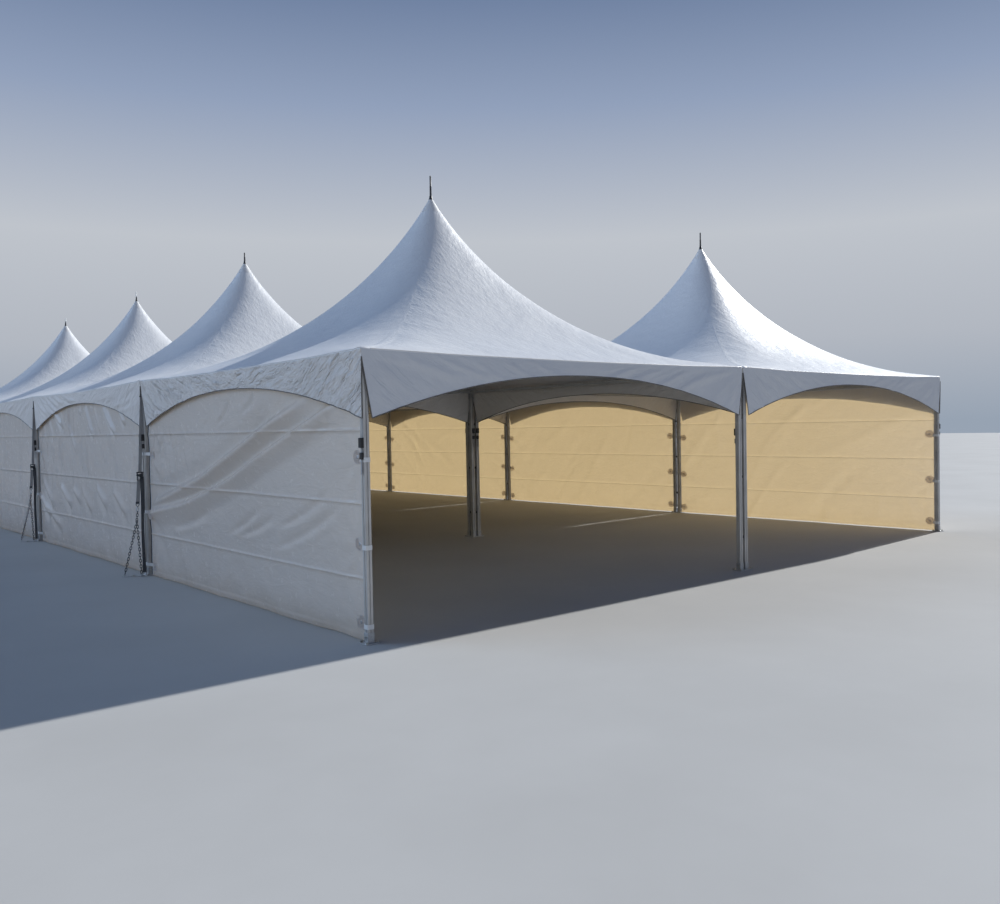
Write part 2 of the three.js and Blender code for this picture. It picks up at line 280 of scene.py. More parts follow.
def webbing(name, light, dark, rough=0.8):
    g = Tree(name)
    uv = g("UVMap", uv_map="cloth").outputs[0]
    ribs = g("TexWave", {"Vector": uv, "Scale": 105.0, "Distortion": 0.8, "Detail": 1.0}, bands_direction="Y").outputs["Fac"]
    cords = g("TexWave", {"Vector": uv, "Scale": 52.0, "Distortion": 0.4}, bands_direction="X").outputs["Fac"]
    weave = g.math("MULTIPLY", ribs, g.math("ADD", g.math("MULTIPLY", cords, 0.6), 0.4))
    soil = g.noise(uv, 7.0, 4.0, 0.65)
    tone = g.ramp(g.math("ADD", g.math("MULTIPLY", weave, 0.55), g.math("MULTIPLY", soil, 0.45)), [(0.22, dark), (0.68, light)])
    n = g.bump(weave, 0.0010, 0.8)
    skin = g("BsdfPrincipled", {"Base Color": tone, "Roughness": rough, "Normal": n, "Sheen Weight": 0.15, "Specular IOR Level": 0.3})
    return g.done(skin.outputs[0])


def plain_floor():
    g = Tree("pale_floor")
    at = g("TexCoord").outputs["Object"]
    tone = g.ramp(g.noise(at, 0.35, 5.0, 0.6), [(0.35, (0.49, 0.483, 0.468)), (0.65, (0.53, 0.523, 0.508))])
    n = g.bump(g.noise(at, 60.0, 3.0, 0.6), 0.001, 0.3)
    return g.done(g("BsdfPrincipled", {"Base Color": tone, "Roughness": 0.85, "Normal": n, "Specular IOR Level": 0.25}).outputs[0])


# ------------------------------------------------------------------ mesh kit
class Part:
    """Closed little bodies gathered into one mesh, each face with its material."""

    def __init__(self):
        self.v, self.f, self.m, self.uv, self.n = [], [], [], [], 0

    def add(self, verts, faces, mat=0, uv=None):
        verts = np.asarray(verts, float)
        self.v.append(verts)
        self.uv.append(np.zeros((len(verts), 2)) if uv is None else np.asarray(uv, float))
        self.f.extend([tuple(int(k) + self.n for k in f) for f in faces])
        self.m.extend([mat] * len(faces))
        self.n += len(verts)

    def merge(self, other, matrix=None, flip=False, mats=None):
        v = np.concatenate(other.v)
        if matrix is not None:
            m = np.array(matrix)
            v = v @ m[:3, :3].T + m[:3, 3]
        self.v.append(v)
        self.uv.append(np.concatenate(other.uv))
        self.f.extend([tuple(k + self.n for k in (reversed(f) if flip else f)) for f in other.f])
        self.m.extend(other.m)
        self.n += other.n

    # a bar with every edge bevelled, between two corners
    def block(self, low, high, bevel=0.002, mat=0, matrix=None):
        low, high = np.minimum(low, high), np.maximum(low, high)
        c, h = (low + high) / 2, (high - low) / 2
        b = min(bevel, *(h * 0.49))
        pts, key = [], {}
        for s in np.ndindex(2, 2, 2):
            sg = np.array(s) * 2 - 1
            for ax in range(3):
                p = sg * (h - b)
                p[ax] = sg[ax] * h[ax]
                key[s, ax] = len(pts)
                pts.append(c + p)
        pts = np.array(pts)
        faces = []
        for ax in range(3):
            o = [k for k in range(3) if k != ax]
            for e in (0, 1):
                q = []
                for a, d in ((0, 0), (1, 0), (1, 1), (0, 1)):
                    s = [0, 0, 0]
                    s[ax], s[o[0]], s[o[1]] = e, a, d
                    q.append(key[tuple(s), ax])
                faces.append(q)
            for a in (0, 1):
                for d in (0, 1):
                    s0, s1 = [0, 0, 0], [0, 0, 0]
                    s0[ax], s1[ax] = 0, 1
                    s0[o[0]] = s1[o[0]] = a
                    s0[o[1]] = s1[o[1]] = d
                    faces.append([key[tuple(s0), o[0]], key[tuple(s1), o[0]], key[tuple(s1), o[1]], key[tuple(s0), o[1]]])
        for s in np.ndindex(2, 2, 2):
            faces.append([key[s, 0], key[s, 1], key[s, 2]])
        out = []
        for q in faces:
            p = pts[q]
            n = np.cross(p[1] - p[0], p[2] - p[0])
            out.append(q if np.dot(n, p.mean(0) - c) > 0 else q[::-1])
        uv = np.stack([pts[:, 0] + pts[:, 1], pts[:, 2]], 1)
        if matrix is not None:
            m = np.array(matrix)
            pts = pts @ m[:3, :3].T + m[:3, 3]
        self.add(pts, out, mat, uv)

    # outline (n, 2), counter-clockwise, pulled up along z; ends closed
    def prism(self, outline, z0, z1, mat=0, bevel=0.0, matrix=None):
        o = np.asarray(outline, float)
        n = len(o)
        rings = [(z0, 0.0), (z1, 0.0)]
        if bevel:
            rings = [(z0, bevel), (z0 + bevel, 0.0), (z1 - bevel, 0.0), (z1, bevel)]
        e = np.roll(o, -1, 0) - o
        t = e / np.maximum(np.linalg.norm(e, axis=1, keepdims=True), 1e-9)
        nrm = np.stack([t[:, 1], -t[:, 0]], 1)
        vn = nrm + np.roll(nrm, 1, 0)
        vn /= np.maximum(np.linalg.norm(vn, axis=1, keepdims=True), 1e-9)
        around = np.concatenate([[0], np.cumsum(np.linalg.norm(e, axis=1))])[:n]
        pts, uv = [], []
        for z, inset in rings:
            p = o - vn * inset
            pts.append(np.column_stack([p, np.full(n, z)]))
            uv.append(np.column_stack([around, np.full(n, z)]))
        faces = []
        for r in range(len(rings) - 1):
            for i in range(n):
                j = (i + 1) % n
                faces.append((r * n + i, r * n + j, (r + 1) * n + j, (r + 1) * n + i))
        faces.append(tuple(reversed(range(n))))
        faces.append(tuple((len(rings) - 1) * n + i for i in range(n)))
        pts = np.concatenate(pts)
        if matrix is not None:
            m = np.array(matrix)
            pts = pts @ m[:3, :3].T + m[:3, 3]
        self.add(pts, faces, mat, np.concatenate(uv))

    # turned body round the z axis through (cx, cy); profile is (radius, z) from bottom to top
    def lathe(self, profile, sides, cx=0.0, cy=0.0, mat=0, matrix=None):
        pts, uv, rows = [], [], []
        for r, z in profile:
            if r < 1e-6:
                rows.append([len(pts)])
                pts.append((cx, cy, z))
                uv.append((0, z))
            else:
                rows.append(list(range(len(pts), len(pts) + sides)))
                for k in range(sides):
                    a = 2 * math.pi * k / sides
                    pts.append((cx + r * math.cos(a), cy + r * math.sin(a), z))
                    uv.append((r * a, z))
        faces = []
        for a, b in zip(rows, rows[1:]):
            for k in range(sides):
                l = (k + 1) % sides
                if len(a) == 1 and len(b) == 1:
                    continue
                if len(a) == 1:
                    faces.append((a[0], b[l], b[k]))
                elif len(b) == 1:
                    faces.append((a[k], a[l], b[0]))
                else:
                    faces.append((a[k], a[l], b[l], b[k]))
        if len(rows[0]) > 1:
            faces.append(tuple(reversed(rows[0])))
        if len(rows[-1]) > 1:
            faces.append(tuple(rows[-1]))
        pts = np.array(pts)
        if matrix is not None:
            m = np.array(matrix)
            pts = pts @ m[:3, :3].T + m[:3, 3]
        self.add(pts, faces, mat, uv)

    # section (n, 2) swept along a path; width[i] is the direction of its first axis
    def sweep(self, path, section, width, mat=0, closed=False, caps=True, scale=None):
        path = np.asarray(path, float)
        section = np.asarray(section, float)
        k, n = len(path), len(section)
        width = np.broadcast_to(np.asarray(width, float), path.shape)
        if closed:
            t = np.roll(path, -1, 0) - np.roll(path, 1, 0)
        else:
            t = np.gradient(path, axis=0)
        t /= np.maximum(np.linalg.norm(t, axis=1, keepdims=True), 1e-12)
        w = width - t * (width * t).sum(1, keepdims=True)
        w /= np.maximum(np.linalg.norm(w, axis=1, keepdims=True), 1e-12)
        h = np.cross(t, w)
        sc = np.ones(k) if scale is None else np.asarray(scale, float)
        pts = path[:, None] + sc[:, None, None] * (section[None, :, 0, None] * w[:, None] + section[None, :, 1, None] * h[:, None])
        along = np.concatenate([[0], np.cumsum(np.linalg.norm(np.diff(path, axis=0), axis=1))])
        e = np.concatenate([[0], np.cumsum(np.linalg.norm(np.diff(section, axis=0), axis=1))])
        uv = np.stack([np.broadcast_to(e[None], (k, n)), np.broadcast_to(along[:, None], (k, n))], -1)
        faces = []
        for r in range(k if closed else k - 1):
            a, b = r * n, ((r + 1) % k) * n
            for i in range(n):
                j = (i + 1) % n
                faces.append((a + i, a + j, b + j, b + i))
        if caps and not closed:
            faces.append(tuple(reversed(range(n))))
            faces.append(tuple((k - 1) * n + i for i in range(n)))
        self.add(pts.reshape(-1, 3), faces, mat, uv.reshape(-1, 2))

    def tube(self, path, radius, sides=8, mat=0, closed=False, scale=None):
        path = np.asarray(path, float)
        t = path[1] - path[0]
        ref = np.array([0, 0, 1.0]) if abs(t[2]) < 0.8 * np.linalg.norm(t) else np.array([1.0, 0, 0])
        if closed:
            ref = np.linalg.svd(path - path.mean(0))[2][2]
        a = np.arange(sides) / sides * 2 * math.pi
        self.sweep(path, radius * np.stack([np.cos(a), np.sin(a)], 1), ref, mat, closed, True, scale)

    def ribbon(self, path, width, thick, across, mat=0):
        w, h = width / 2, thick / 2
        b = min(h * 0.6, 0.001)
        s = [(-w, -h + b), (-w + b, -h), (w - b, -h), (w, -h + b), (w, h - b), (w - b, h), (-w + b, h), (-w, h - b)]
        self.sweep(path, s, across, mat)

    def make(self, name, mats, nodes=(), angle=38.0):
        o = build(name, np.concatenate(self.v), self.f, mats, self.m, np.concatenate(self.uv), None, angle)
        finish_piece(o, nodes)
        return o


def build(name, verts, faces, mats, index=None, uv=None, loop_uv=None, angle=None):
    me = bpy.data.meshes.new(name)
    me.from_pydata(np.asarray(verts, float).tolist(), [], faces if isinstance(faces, list) else faces.tolist())
    for m in mats:
        me.materials.append(m)
    if index is not None:
        me.polygons.foreach_set("material_index", np.asarray(index, np.int32))
    layer = me.uv_layers.new(name="cloth")
    if loop_uv is None:
        vi = np.empty(len(me.loops), np.int32)
        me.loops.foreach_get("vertex_index", vi)
        loop_uv = np.asarray(uv, float)[vi]
    layer.data.foreach_set("uv", np.asarray(loop_uv, np.float32).ravel())
    me.polygons.foreach_set("use_smooth", np.ones(len(me.polygons), bool))
    if angle is not None:
        me.set_sharp_from_angle(angle=math.radians(angle))
    me.update()
    o = bpy.data.objects.new(name, me)
    bpy.context.scene.collection.objects.link(o)
    return o


def finish_piece(o, nodes=()):
    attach(o, "root")
    if nodes:
        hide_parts(*nodes)


def circle(r, n, cx=0.0, cy=0.0, start=0.0):
    a = start + np.arange(n) / n * 2 * math.pi
    return np.stack([cx + r * np.cos(a), cy + r * np.sin(a)], 1)


# ------------------------------------------------------------------ creases in cloth
def creases(u, v, rng, count, box, length, width, height, lean=None):
    """Short soft folds: bumps and hollows laid at random over the rectangle box."""
    h = np.zeros_like(u)
    (u0, v0), (u1, v1) = box
    for _ in range(count):
        cu, cv = rng.uniform(u0, u1), rng.uniform(v0, v1)
        a = rng.uniform(0, math.pi) if lean is None else rng.normal(lean[0], lean[1])
        ln, wd = rng.uniform(*length), rng.uniform(*width)
        amp = rng.uniform(0.4, 1.0) * height * rng.choice([-1, 1])
        bend = rng.normal(0, 0.25)
        du, dv = u - cu, v - cv
        x = du * math.cos(a) + dv * math.sin(a)
        y = -du * math.sin(a) + dv * math.cos(a) + bend * x * x / ln
        h += amp * np.exp(-(y / wd) ** 2) * np.exp(-(x / (0.5 * ln)) ** 4)
    return h


def fan(du, dv, rays, rng, height, reach, start=0.08):
    """Pull folds that spread from a corner: du and dv are the distances from it."""
    r = np.hypot(du, dv) + 1e-9
    a = np.arctan2(dv, du)
    ph = rng.uniform(0, 2 * math.pi, 3)
    wave = np.sin(rays * a + ph[0] + 0.5 * np.sin(3.1 * a + ph[1])) + 0.4 * np.sin(2.3 * rays * a + ph[2] + 1.5 * r)
    return height * wave * smooth(start, start + 0.35, r) * np.exp(-(r / reach) ** 2)


# ------------------------------------------------------------------ canopies
def rise(t):
    return 0.547 * np.power(1 - t, 1.219) + 0.453 * np.power(1 - t, 3.067)


def contour(t, side, s):
    n = 2 + 4.63 * t + 10 * t ** 14 + 600 * t ** 60
    a = t * HALF / np.power(1 + np.power(np.abs(s), n), 1 / n)
    b = a * s
    x = np.select([side == 0, side == 1, side == 2], [b, a, -b], -a)
    y = np.select([side == 0, side == 1, side == 2], [-a, b, a], -b)
    return x, y, a


def lifted(s):
    """The corner fittings hold the eave a little up, mid span hangs a little low."""
    a = np.abs(s)
    return 0.020 * smooth(0.55, 0.97, a) + 0.010 * smooth(0.955, 0.985, a) - 0.007 * (1 - smooth(0.0, 0.6, a))


def valance_low(s, mid, power, end):
    """Height of the valance's lower edge: an arch, then the slit at the corner."""
    a = np.abs(s)
    tip = 2.155
    arch = mid - (mid - tip) * np.power(np.minimum(a / end, 1), power)
    return np.where(a > end, tip + (a - end) / (1 - end) * (SLIT_TOP - tip), arch)


def side_samples(count, first, last):
    """From -1 to just before +1, with the arch from -first to last."""
    return np.concatenate([np.linspace(-1, -first, 5)[:-1], np.linspace(-first, last, count), np.linspace(last, 1, 5)[1:-1]])


ROOF_T = np.concatenate([
    0.0066 + (0.30 - 0.0066) * np.linspace(0, 1, 16)[:-1] ** 1.25,
    np.linspace(0.30, 0.965, 25), [0.978, 0.988, 0.995]])
EAVE_R = 0.014
EAVE_ANGLES = np.radians([25, 50, 72, 90])
VALANCE_F = np.concatenate([np.linspace(0.035, 0.945, 25), [0.98, 1.0]])


MIDS = {(0, 0): 2.560, (0, 1): 2.590, (0, 2): 2.578, (1, 0): 2.566, (1, 2): 2.580}


def ridge(u, v, a, b, width, height, cut=0.45):
    """A straight fold from a to b with a shallow furrow along one side."""
    du, dv = b[0] - a[0], b[1] - a[1]
    ln = math.hypot(du, dv)
    t = ((u - a[0]) * du + (v - a[1]) * dv) / ln ** 2
    n = ((u - a[0]) * -dv + (v - a[1]) * du) / ln
    n = n + 0.10 * ln * (t - 0.5) ** 2
    w = width * (0.75 + 0.5 * np.clip(t, 0, 1))
    window = smooth(-0.22, 0.18, t) * (1 - smooth(0.80, 1.20, t))
    return window * height * (np.exp(-(n / w) ** 2) - cut * np.exp(-((n - 1.7 * w) / (1.1 * w)) ** 2))


def valance_folds(u, drop, i, j, rng):
    """Long slanting folds between the eave and the arch, crossing towards mid span."""
    h = np.zeros_like(u)
    if (i, j) == (0, 1):
        lines = [(2.198, 2.751, 1.375, 2.446), (1.945, 2.759, 1.301, 2.573), (1.578, 2.745, 1.006, 2.612),
                 (0.991, 2.739, 0.285, 2.620), (2.606, 2.612, 1.983, 2.444), (2.45, 2.72, 1.72, 2.42),
                 (-1.062, 2.590, -1.793, 2.689), (-1.427, 2.563, -1.833, 2.660), (-1.85, 2.47, -2.60, 2.57),
                 (-2.1, 2.39, -2.85, 2.47)]
        for n, (a, az, b, bz) in enumerate(lines):
            h += ridge(u, drop, (-a, 2.8 - az), (-b, 2.8 - bz), 0.036, 0.0155 if n < 6 else 0.010)
    else:
        for sg in (-1, 1):
            m = int(rng.integers(4, 7))
            for k in range(m):
                a = 2.75 - 2.1 * (k + rng.uniform(0, 0.7)) / m
                d0 = rng.uniform(0.03, 0.08)
                ln = rng.uniform(0.45, 0.9)
                d1 = d0 + ln * rng.uniform(0.28, 0.48)
                h += ridge(u, drop, (sg * a, d0), (sg * (a - ln), d1), rng.uniform(0.03, 0.045), rng.uniform(0.006, 0.012))
    return h


def canopy(i, j, mats, rng):
    """One continuous sheet from the crown to the valance's lower edge."""
    exposed = {3} if i == 0 else {1}
    if j == 0:
        exposed.add(0)
    if j == 3:
        exposed.add(2)
    side, s, starts = [], [], []
    for k in range(4):
        q = side_samples(226 if (k in exposed and i == 0 and j < 2) else 116 if (k in exposed and j < 3) else 84 if k in exposed else 36,
                         *TAB_ENDS[k])
        starts.append(len(side))
        side += [k] * len(q)
        s += list(q)
    side, s = np.array(side), np.array(s)
    n = len(s)
    starts.append(n)

    T = ROOF_T[:, None] * np.ones(n)
    x, y, a = contour(T, side[None], s[None])
    z = EAVE + (APEX - EAVE) * rise(T)
    # the cloth comes steeper down to mid eave than to the corners
    te = np.maximum(HALF - a, 0)
    z = z + 0.24 * te * np.exp(-te / 0.36) * np.power(np.maximum(1 - np.abs(s[None]), 0), 0.8)
    z = z + lifted(s)[None] * smooth(0.62, 1.0, T)
    one = np.ones((1, n))
    ex, ey, ea = contour(one * 0.9999, side[None], s[None])
    ex, ey = ex / 0.9999, ey / 0.9999
    rows_x, rows_y, rows_z, kind = [x], [y], [z], [0] * len(ROOF_T)
    for p in EAVE_ANGLES:
        f = (HALF - EAVE_R + EAVE_R * math.sin(p)) / HALF
        rows_x.append(ex * f)
        rows_y.append(ey * f)
        rows_z.append(one * (EAVE - EAVE_R + EAVE_R * math.cos(p)) + lifted(s)[None])
        kind.append(1)
    pair = np.array(TAB_ENDS)[side]
    ends = np.where(s < 0, pair[:, 0], pair[:, 1])
    mid = np.where((side == 0) & (j == 0), 2.622, MIDS.get((i, j), 2.573))
    low = valance_low(s, mid, 2.1, ends)[None]
    top = EAVE - EAVE_R + lifted(s)[None]
    for f in VALANCE_F:
        rows_x.append(ex)
        rows_y.append(ey)
        rows_z.append(top + (low - top) * f)
        kind.append(2)
    X, Y, Z = (np.concatenate(r) for r in (rows_x, rows_y, rows_z))
    P = np.stack([X, Y, Z], -1)
    R = len(P)
    kind = np.array(kind)

    # cloth coordinates: across the side, and down the slope from the crown
    step = np.linalg.norm(np.diff(P, axis=0), axis=2)
    down = np.concatenate([np.zeros((1, n)), np.cumsum(step, axis=0)])
    A = np.concatenate([a, np.full((R - len(a), n), HALF)])
    U = A * s[None]
    corner_u = A * (1 - np.abs(s[None]))
    eave_row = len(ROOF_T)
    to_eave = down[eave_row][None] - down

    # unevenness of the fabric, along its normal
    H = np.zeros((R, n))
    roof = (kind < 1)[:, None]
    for k in range(4):
        c = slice(starts[k], starts[k + 1])
        u, d, cu, te = U[:, c], down[:, c], corner_u[:, c], to_eave[:, c]
        edge = smooth(0.0, 0.10, cu)
        h = creases(u, d, rng, 26, ((-2.6, 1.4), (2.6, 4.2)), (0.5, 1.5), (0.07, 0.16), 0.0035, (math.pi / 2, 0.35))
        for sg in (-1, 1):
            du = np.abs(HALF * sg - u) if sg > 0 else np.abs(u + HALF)
            h += fan(du, np.maximum(te, 0), 15, rng, 0.0042, 1.5)
        h *= smooth(0.0, 0.5, d) * smooth(0.0, 0.10, te) * edge
        lie = np.where(roof, h, 0.0)
        # valance
        drop = np.maximum(EAVE - P[:, c, 2], 0)
        soft = smooth(0.0, 0.10, drop) * smooth(0.0, 0.012, 1 - np.abs(s[c]))[None]
        v = np.zeros_like(u)
        near = drop < 0.13
        if k in exposed:
            restless = (j == 0 and i == 0 and k == 3)
            if restless:
                v += creases(u, drop, rng, 230, ((-3.0, 0.0), (3.0, 0.62)), (0.10, 0.34), (0.018, 0.034), 0.0120, (0.9 * rng.choice([-1, 1]), 0.8))
            else:
                v += valance_folds(u, drop, i, j, rng) * (1.0 if k in (1, 3) else 0.7)
                v += creases(u, drop, rng, 70, ((-3.0, 0.0), (3.0, 0.62)), (0.15, 0.5), (0.020, 0.045), 0.0040)
            for sg in (-1, 1):
                du = np.abs(HALF - sg * u)
                v += fan(du, drop + 0.02, 13 + 3 * rng.random(), rng, 0.0050, 1.3, 0.10)
            v += 0.008 * np.sin(u * 2.1 + rng.uniform(0, 6)) * smooth(0.1, 0.5, drop)
            low_clip, high_clip = np.where(near, -0.011, -0.026), 0.020
        else:
            v += creases(u, drop, rng, 40, ((-3.0, 0.0), (3.0, 0.62)), (0.2, 0.6), (0.05, 0.10), 0.004)
            low_clip, high_clip = np.where(near, -0.011, -0.022), 0.009
        post = np.abs(s[c])[None] > 0.955
        lie = lie + np.where(kind[:, None] == 2, np.clip(v * soft, np.where(post, -0.006, low_clip), high_clip), 0.0)
        H[:, c] = lie

    dr = np.gradient(P, axis=0)
    dc = np.roll(P, -1, 1) - np.roll(P, 1, 1)
    N = np.cross(dr, dc)
    N /= np.maximum(np.linalg.norm(N, axis=2, keepdims=True), 1e-12)
    if N[10, :, 2].mean() < 0:
        N = -N
    flat = (kind == 2)[:, None]
    out = np.stack([np.select([side == 1, side == 3], [1.0, -1.0], 0.0), np.select([side == 0, side == 2], [-1.0, 1.0], 0.0),
                    np.zeros(n)], -1)[None]
    N = np.where(flat[..., None], out, N)
    P = P + N * H[..., None]
    P[..., 0] += mid_x(i)
    P[..., 1] += mid_y(j)

    V = P.reshape(-1, 3)
    r, c = np.meshgrid(np.arange(R - 1), np.arange(n), indexing="ij")
    c2 = (c + 1) % n
    F = np.stack([r * n + c, (r + 1) * n + c, (r + 1) * n + c2, r * n + c2], -1).reshape(-1, 4)
    # per corner, so that the last strip of a side ends at that side's own edge
    sn = np.empty(n)
    for k in range(4):
        sn[starts[k]:starts[k + 1] - 1] = s[starts[k] + 1:starts[k + 1]]
        sn[starts[k + 1] - 1] = 1.0
    UN = A * sn[None]
    DN = np.roll(down, -1, 1)
    shift = side * 9.0
    loop = np.stack([
        np.stack([(U + shift)[:-1], down[:-1]], -1), np.stack([(U + shift)[1:], down[1:]], -1),
        np.stack([(UN + shift)[1:], DN[1:]], -1), np.stack([(UN + shift)[:-1], DN[:-1]], -1)], 2)
    restless = (i == 0 and j == 0)
    creased = (j == 0 and i == 0) * (side == 3)
    # material slots: the front valances get the darker, bluer copy of the fabric with painted shade, the side valances
    # the copy with a painted warm bounce cast
    skin = np.where(kind[1:, None] == 2, np.where(creased, 1, np.where((side == 0) & (j == 0), 3, 2))[None], 0).reshape(-1)
    o = build(f"canopy_cloth_{SIDES[i]}_{j + 1}", V, F, [mats["canopy"], mats["valance_restless"], mats["valance"], mats["valance_front_shaded"]], skin, None, loop.reshape(-1, 2))
    finish_piece(o, [f"canopy_{SIDES[i]}_{j + 1}"])
    flat_side = 2 * 3.96
    area = float((np.linalg.norm(np.cross(V[F[:, 1]] - V[F[:, 0]], V[F[:, 2]] - V[F[:, 0]]), axis=1).sum()
                  + np.linalg.norm(np.cross(V[F[:, 2]] - V[F[:, 0]], V[F[:, 3]] - V[F[:, 0]]), axis=1).sum()) / 2)
    return o, P, side, s, starts, kind, area


def canopy_trim(i, j, P, side, s, starts, mats):
    """Dark piping on the lower edge, its dark colour partly painted shade of the line under that edge, weld tapes over
    the hips, and the crown's collar of doubled cloth."""
    part = Part()
    n = P.shape[1]
    edge = P[-1]
    # dark piping along the valance's lower edge: partly real piping, partly painted shade of the line under the edge
    a = np.arange(6) / 6 * 2 * math.pi
    ring = 0.0055 * np.stack([np.cos(a), np.sin(a)], 1)
    for k in range(4):
        c0, c1 = starts[k], starts[k + 1]
        path = np.concatenate([edge[c0:c1], edge[c1 % n][None]])
        step = 1 if c1 - c0 < 80 else 3
        keep = sorted(set(range(0, len(path), step)) | set(range(7)) | set(range(len(path) - 7, len(path))))
        path = path[keep]
        outw = {0: (0, -1, 0), 1: (1, 0, 0), 2: (0, 1, 0), 3: (-1, 0, 0)}[k]
        part.sweep(path, ring, outw, 0)
    # welt that rides on the eave edge
    first = len(ROOF_T) + 1
    a = np.arange(8) / 8 * 2 * math.pi
    welt = 0.0062 * np.stack([np.cos(a), np.sin(a)], 1)
    for k in range(4):
        c0, c1 = starts[k], starts[k + 1]
        path = np.concatenate([P[first, c0:c1], P[first, c1 % n][None]]) + np.array([0, 0, 0.0022])
        step = 1 if c1 - c0 < 80 else 4
        keep = sorted(set(range(4, len(path) - 4, step)) | {4, len(path) - 5})
        part.sweep(path[keep], welt, (0, 0, 1.0), 1)
    # tapes
    R0 = 2
    R1 = len(ROOF_T) - 2
    for k in range(4):
        c = starts[k]
        for col, half_w in ((c, 0.016),):
            mid = P[R0:R1, col]
            l = P[R0:R1, (col - 1) % n]
            r = P[R0:R1, (col + 1) % n]
            dl = l - mid
            dr = r - mid
            ll = np.linalg.norm(dl, axis=1, keepdims=True)
            lr = np.linalg.norm(dr, axis=1, keepdims=True)
            up = np.cross(dr, np.gradient(mid, axis=0))
            up /= np.maximum(np.linalg.norm(up, axis=1, keepdims=True), 1e-12)
            up = np.where(up[:, 2:3] < 0, -up, up)
            w = np.minimum(half_w, 0.42 * np.linalg.norm(mid[:, :2] - [mid_x(i), mid_y(j)], axis=1, keepdims=True))
            A0, A1 = mid + dl / ll * w, mid + dr / lr * w
            top = np.stack([A0 + up * 0.0004, mid + up * 0.0009, A1 + up * 0.0004], 1)
            bot = np.stack([A1 - up * 0.0010, mid - up * 0.0006, A0 - up * 0.0010], 1)
            ringp = np.concatenate([top, bot], 1)
            m = len(ringp)
            faces = []
            for q in range(m - 1):
                for e in range(6):
                    f = (e + 1) % 6
                    faces.append((q * 6 + e, q * 6 + f, (q + 1) * 6 + f, (q + 1) * 6 + e))
            faces.append(tuple(reversed(range(6))))
            faces.append(tuple((m - 1) * 6 + e for e in range(6)))
            dist = np.linalg.norm(np.gradient(mid, axis=0), axis=1).cumsum()
            uv = np.stack([np.broadcast_to(np.linspace(0, 0.08, 6)[None], (m, 6)), np.broadcast_to(dist[:, None], (m, 6))], -1)
            part.add(ringp.reshape(-1, 3), faces, 2, uv.reshape(-1, 2))
    # collar of doubled cloth round the crown
    cx, cy = mid_x(i), mid_y(j)
    prof = []
    for t in (0.0085, 0.012, 0.020, 0.032, 0.045, 0.046):
        prof.append((t * HALF, EAVE + (APEX - EAVE) * float(rise(t))))
    outer = [(r + 0.0022, z + 0.0014) for r, z in prof]
    inner = [(r - 0.0005, z - 0.0006) for r, z in prof]
    sides = 40
    pts, faces = [], []
    loopp = outer + inner[::-1]
    for r, z in loopp:
        for q in range(sides):
            an = 2 * math.pi * q / sides
            pts.append((cx + r * math.cos(an), cy + r * math.sin(an), z))
    m = len(loopp)
    for q in range(m):
        for e in range(sides):
            f = (e + 1) % sides
            g = (q + 1) % m
            faces.append((q * sides + e, g * sides + e, g * sides + f, q * sides + f))
    part.add(pts, faces, 1, [(p[0] * 1.0, p[2]) for p in pts])
    o = part.make(f"canopy_trim_{SIDES[i]}_{j + 1}", [mats["piping_with_shade_line"], mats["tape"], mats["canopy"]], angle=50)
    return o


# ------------------------------------------------------------------ wall panels
SEAMS = (0.61, 1.335, 2.045)


def band(u, v, path, up_w, down_w, height):
    """A long fold along a path of (u, v) points, steep below and easy above."""
    pu = np.array([p[0] for p in path])
    pv = np.array([p[1] for p in path])
    order = np.argsort(pu)
    centre = np.interp(u, pu[order], pv[order])
    slope = np.gradient(pv[order], pu[order])
    sl = np.interp(u, pu[order], slope)
    d = (v - centre) / np.sqrt(1 + sl * sl)
    ends = smooth(pu.min() - 0.45, pu.min() + 0.35, u) * (1 - smooth(pu.max() - 0.35, pu.max() + 0.30, u))
    w = np.where(d > 0, up_w, down_w)
    return height * np.exp(-(d / w) ** 2) * ends


def shelf(u, v, path, above, below, high, low, lip=0.0):
    """A long fold whose crest follows a path of (u, v) points: it falls back steeply above the
    crest, to a furrow, and eases away below it."""
    pu = np.array([p[0] for p in path])
    pv = np.array([p[1] for p in path])
    order = np.argsort(pu)
    pu, pv = pu[order], pv[order]
    # a smooth line through the points
    fine = np.linspace(pu[0], pu[-1], 160)
    line = np.interp(fine, pu, pv)
    for _ in range(14):
        line[1:-1] = 0.25 * line[:-2] + 0.5 * line[1:-1] + 0.25 * line[2:]
    slope = np.gradient(line, fine)
    c, sl = np.interp(u, fine, line), np.interp(u, fine, slope)
    c = c + np.where(u > pu[-1], (u - pu[-1]) * slope[-1], 0) + np.where(u < pu[0], (u - pu[0]) * slope[0], 0)
    d = (v - c) / np.sqrt(1 + sl * sl)
    t = np.clip(d / above, 0, 1)
    over = 1 - (0.65 * t + 0.35 * smooth(0, 1, t))
    q = np.clip(-d / below, 0, 1)
    under = 0.6 * (1 - q) ** 1.6 + 0.4 * (1 - smooth(0, 1, q))
    furrow = -low * smooth(0, 1, t) * (1 - smooth(0, 1, (d - above) / (2.2 * above)))
    h = np.where(d > 0, high * over + furrow, high * under)
    h = h + lip * np.exp(-(d / 0.012) ** 2)
    ends = smooth(pu[0] - 0.55, pu[0] + 0.55, u) * (1 - smooth(pu[-1] - 0.45, pu[-1] + 0.40, u))
    return h * ends


